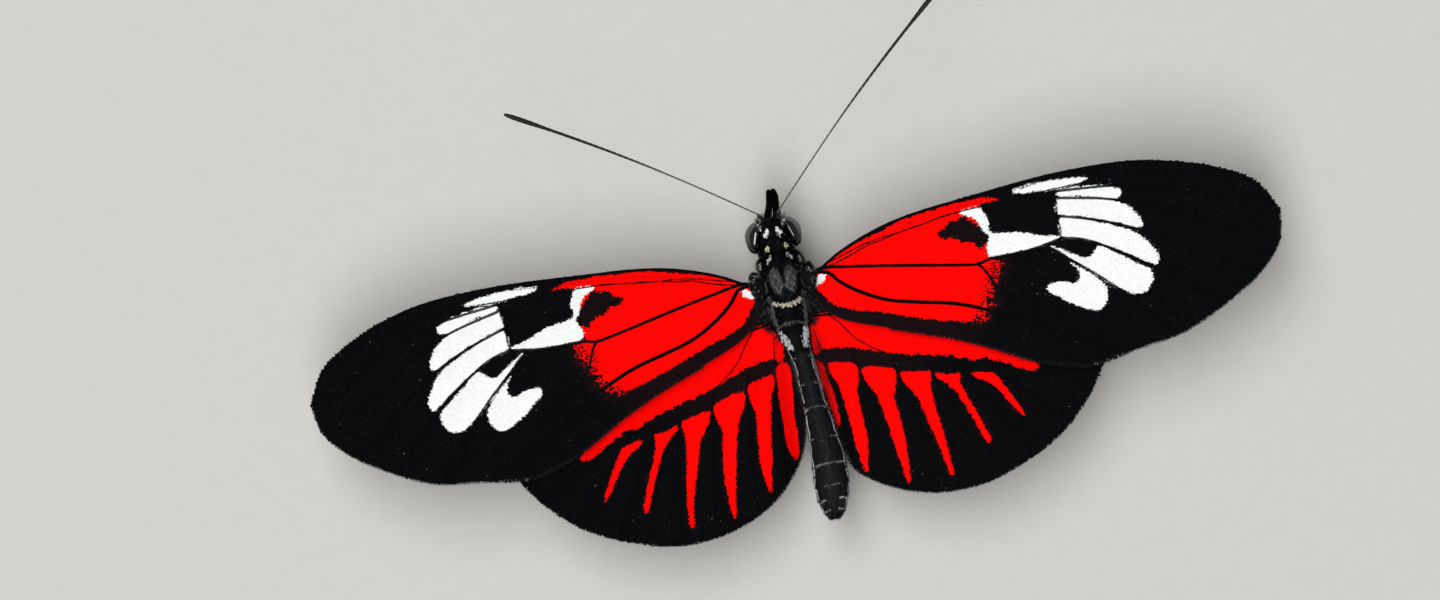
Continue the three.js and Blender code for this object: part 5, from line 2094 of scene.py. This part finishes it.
@dataclass
class Leg:
    """A leg: hip, thigh, shin and a foot of five joints with two claws, set with scales and spines."""

    pair: LegPair
    side: Side
    hip: tuple[float, float] = (0.36, 0.26)
    thigh: tuple[float, float] = (0.25, 0.19)
    shin: tuple[float, float] = (0.16, 0.15)
    foot: tuple[float, float] = (0.125, 0.1)
    foot_joints: tuple[float, ...] = (0.0, 0.42, 0.6, 0.75, 0.87, 1.0)
    # The foreleg is small and folded, and has only two lengths
    small: tuple[tuple[float, float], ...] = ((0.24, 0.16), (0.15, 0.09))
    claw_reach: float = 0.34
    sides: int = 14
    # The least heights over the floor of the cover, and of the roots of scales and of spines
    cover_low: float = 0.004
    scales_low: float = 0.04
    spines_low: float = 0.1

    @property
    def nodes(self) -> tuple[str, ...]:
        """The CAD nodes that the leg stands for."""
        parts = ("femur", "tibia") if self.pair is LegPair.FORE else ("coxa", "femur", "tibia", "tarsus")
        return tuple(f"{self.pair.value}_{part}_{self.side.word}" for part in parts)

    def rod(self, start: Array, end: Array, thick: float, thin: float, bow: float = 0.0
            ) -> tuple[Array, Array]:
        """One length of leg: straight or a little bowed upwards, tapered, slightly waisted, and rounded at
        both ends like part of a circle.

        Args:
            start: Its upper end.
            end: Its lower end.
            thick: Its radius at the upper end.
            thin: Its radius at the lower end.
            bow: How far it bows upwards in the middle.

        Returns:
            Its middle and its radius at spots along it.
        """
        share = (1 - np.cos(np.linspace(0, math.pi, 22))) / 2
        path = start * (1 - share[:, None]) + end * share[:, None]
        path[:, 2] += bow * np.sin(math.pi * share)
        radius = (thick + (thin - thick) * share) * (1 - 0.1 * np.sin(math.pi * share) ** 2)
        return path, radius * np.sqrt(np.clip(1 - (2 * share - 1) ** 10, 0.02, 1))

    def lengths(self) -> list[tuple[Array, Array]]:
        """The leg's lengths, from the hip to the last joint of the foot.

        Returns:
            The middle and radius of each.
        """
        joints = [np.array(joint) for joint in LEG_JOINTS[self.pair]]
        if self.pair is LegPair.FORE:
            return [self.rod(*ends, *radii) for *ends, radii in zip(joints[:-1], joints[1:], self.small)]
        hip, trochanter, knee, ankle, toe = joints
        lengths = [self.rod(hip, trochanter, *self.hip), self.rod(trochanter, knee, *self.thigh, 0.12),
                   self.rod(knee, ankle, *self.shin, -0.08)]
        heel = np.array([ankle[0], ankle[1], self.foot[0] + 0.02])
        heel = heel + (toe - heel) * 0.04
        level = np.linspace(self.foot[0], self.foot[1], 6)
        stops = [heel + (toe - heel) * share for share in self.foot_joints]
        for i, (start, end) in enumerate(zip(stops[:-1], stops[1:])):
            start[2], end[2] = level[i] + 0.012, level[i + 1] + 0.012
            begin = ankle if i == 0 else start
            lengths.append(self.rod(begin, end + 0.03 * unit(end - start), level[i], level[i + 1] * 1.05))
        return lengths

    def claws(self) -> list[Shape]:
        """The two hooks at the end of the foot, each a curve out, ahead and down to the floor.

        Returns:
            The hooks.
        """
        toe, ankle = (np.array(LEG_JOINTS[self.pair][i]) for i in (-1, -2))
        ahead = unit((toe - ankle) * np.array([1, 1, 0]))
        aside = np.array([-ahead[1], ahead[0], 0.0])
        share = np.linspace(0, 1, 12)[:, None]
        hooks = []
        for way in (-1, 1):
            path = toe + ahead * self.claw_reach * share + aside * way * (0.05 + 0.14 * share)
            path[:, 2] = 0.13 + 0.1 * np.sin(math.pi * share[:, 0]) - 0.1 * share[:, 0] ** 2
            radius = 0.04 * (1 - 0.85 * share[:, 0])
            hooks.append(tube(path, radius, radius, 8))
        return hooks

    def cover(self, rng: np.random.Generator) -> Shape:
        """The leg's scales and spines.

        Args:
            rng: The random numbers.

        Returns:
            All of them as one shape.
        """
        covers = []
        for i, (path, radius) in enumerate(self.lengths()):
            foot = i > 2
            girth, reach = float(radius.max()), float(np.linalg.norm(path[-1] - path[0]))
            corner = (0.05 + 0.1 * (i % 8), 0.05)
            spot, ahead, out, share, turn = sleeve(path, radius, 0.14, 0.11, rng)
            pale = 0.5 * (np.sin(turn) < -0.45) * (rng.uniform(0, 1, len(spot)) < 0.7) * (not foot)
            tone = rng.uniform(0, 1, len(spot))
            keep = spot[:, 2] > self.scales_low
            dyes = dyed(int(keep.sum()), pale=pale[keep], cream=0.8, tone=tone[keep])
            place = rolled(share, turn, girth, reach, corner)[keep]
            covers.append(shingles(spot[keep], ahead[keep], out[keep], 0.2, 0.1, 0.12, place, dyes))
            spot, ahead, out, share, turn = sleeve(path, radius, 0.2, 0.3 if foot else 0.22, rng)
            keep = spot[:, 2] > self.spines_low
            count = int(keep.sum())
            stand = unit(ahead[keep] + 0.55 * out[keep] + rng.normal(0, 0.08, (count, 3)))
            stand[:, 2] = np.maximum(stand[:, 2], -0.25 if foot else -1.0)
            dyes = dyed(count, pale=0, cream=0, tone=rng.uniform(0, 1, count))
            place = rolled(share, turn, girth, reach, corner)[keep]
            length = rng.uniform(*((0.12, 0.2) if foot else (0.2, 0.38)), count)
            covers.append(bristles(spot[keep], stand, 0.3 * ahead[keep], length, 0.013, place, dyes))
        cover = joined(covers).mirrored(self.side)
        cover.points[:, 2] = np.maximum(cover.points[:, 2], self.cover_low)
        return cover

    def build(self, finishes: Finishes) -> None:
        """Makes the leg's cuticle, and its scales and spines as one cover.

        Args:
            finishes: The materials by name.
        """
        bare = [tube(path, radius, radius, self.sides) for path, radius in self.lengths()]
        if self.pair is not LegPair.FORE:
            bare += self.claws()
        for shape in bare:
            x, y, z = shape.points.T
            shape.dyes = dyed(len(z), pale=0.1 * (z < 0.3), cream=0.8, tone=0.5 + 0.5 * wobble(x, y, 0.6))
        node = f"{self.pair.value}_{self.side.word}"
        cuticle = joined(bare).mirrored(self.side)
        cuticle.piece(f"{node}_cuticle", finishes["limb"], "leg_cuticle", self.nodes)
        cover = self.cover(np.random.default_rng(LEG_SEEDS[self.pair] + self.side.value))
        cover.piece(f"{node}_scales", finishes["leg scales"], "leg_cuticle", self.nodes, smooth=False)


@dataclass
class Stage:
    """The pale floor, the soft studio light and the camera."""

    floor_size: float = 6000.0
    floor_depth: float = 4.0
    floor_points: int = 9
    sky: str = "#E9EDF2"
    sky_strength: float = 0.16
    # The lamp's place, the spot that it faces, the lengths of its two sides, and its power in watts
    lamp_place: tuple[float, float, float] = (-150.0, 0.0, 860.0)
    lamp_aim: tuple[float, float, float] = (0.0, 0.0, 6.0)
    lamp_size: tuple[float, float] = (1500.0, 430.0)
    lamp_power: float = 12.0

    def light(self) -> None:
        """Hangs one softbox overhead."""
        data = bpy.data.lights.new("overhead softbox", "AREA")
        data.shape = "RECTANGLE"
        data.size, data.size_y = self.lamp_size[0] * MM, self.lamp_size[1] * MM
        data.energy = self.lamp_power
        lamp = bpy.data.objects.new("overhead softbox", data)
        bpy.context.scene.collection.objects.link(lamp)
        lamp.location = np.array(self.lamp_place) * MM + ORIGIN
        ray = Vector(np.array(self.lamp_aim) - np.array(self.lamp_place))
        lamp.rotation_euler = ray.to_track_quat("-Z", "Y").to_euler()

    def floor(self, finish: bpy.types.Material) -> None:
        """Lays the floor, a thin slab whose top is at the level on which the insect stands.

        Args:
            finish: Its material.
        """
        half = self.floor_size / 2
        line = np.linspace(-half, half, self.floor_points)
        x, y = np.meshgrid(line, line, indexing="ij")
        shape = slab(np.dstack([x, y, 0 * x]), np.dstack([x, y, 0 * x - self.floor_depth]))
        mesh = bpy.data.meshes.new("floor")
        mesh.from_pydata((shape.points * MM + ORIGIN).tolist(), [], shape.quads.tolist())
        mesh.materials.append(finish)
        floor = bpy.data.objects.new("floor", mesh)
        bpy.context.scene.collection.objects.link(floor)

    def camera(self) -> None:
        """Sets the camera straight over the insect, so far off and so long that a millimetre at the wings'
        level takes as many pixels as in the photograph."""
        data = bpy.data.cameras.new("camera")
        data.sensor_width = SENSOR_WIDTH
        data.lens = SENSOR_WIDTH * VIEW_DISTANCE / (IMAGE_WIDTH / PIXELS_PER_MM)
        data.clip_start, data.clip_end = 0.01, 50.0
        camera = bpy.data.objects.new("camera", data)
        bpy.context.scene.collection.objects.link(camera)
        camera.location = np.array([*VIEW_CENTRE, VIEW_DISTANCE + VIEW_LEVEL]) * MM + ORIGIN
        camera.rotation_euler = (0.0, 0.0, math.radians(VIEW_TURN))
        bpy.context.scene.camera = camera

    def build(self, finishes: Finishes) -> None:
        """Makes the floor, the light, the sky and the camera.

        Args:
            finishes: The materials by name.
        """
        self.floor(finishes["card"])
        self.light()
        world = bpy.data.worlds.new("studio")
        world.use_nodes = True
        sky = world.node_tree.nodes["Background"].inputs
        sky["Color"].default_value, sky["Strength"].default_value = linear(self.sky), self.sky_strength
        bpy.context.scene.world = world
        bpy.context.scene.view_settings.view_transform = "Standard"
        bpy.context.scene.view_settings.look = "None"
        self.camera()


def main() -> None:
    """Builds the butterfly and its stage."""
    logging.basicConfig(level=logging.INFO, format="%(message)s")
    finishes = {name: finish.material() for name, finish in FINISHES.items()}
    Body().build(finishes)
    Tongue().build(finishes)
    for side in Side:
        for part in (Eye(side), Antenna(side), Palp(side), Tegula(side)):
            part.build(finishes)
        for leg_pair in LegPair:
            Leg(leg_pair, side).build(finishes)
    for pair, plan in PLANS.items():
        relief = Relief([vein.path() for vein in plan.veins], plan.low, plan.high)
        for side in Side:
            Wing(pair, side, relief).build(finishes)
    Stage().build(finishes)


if __name__ == "__main__":
    main()
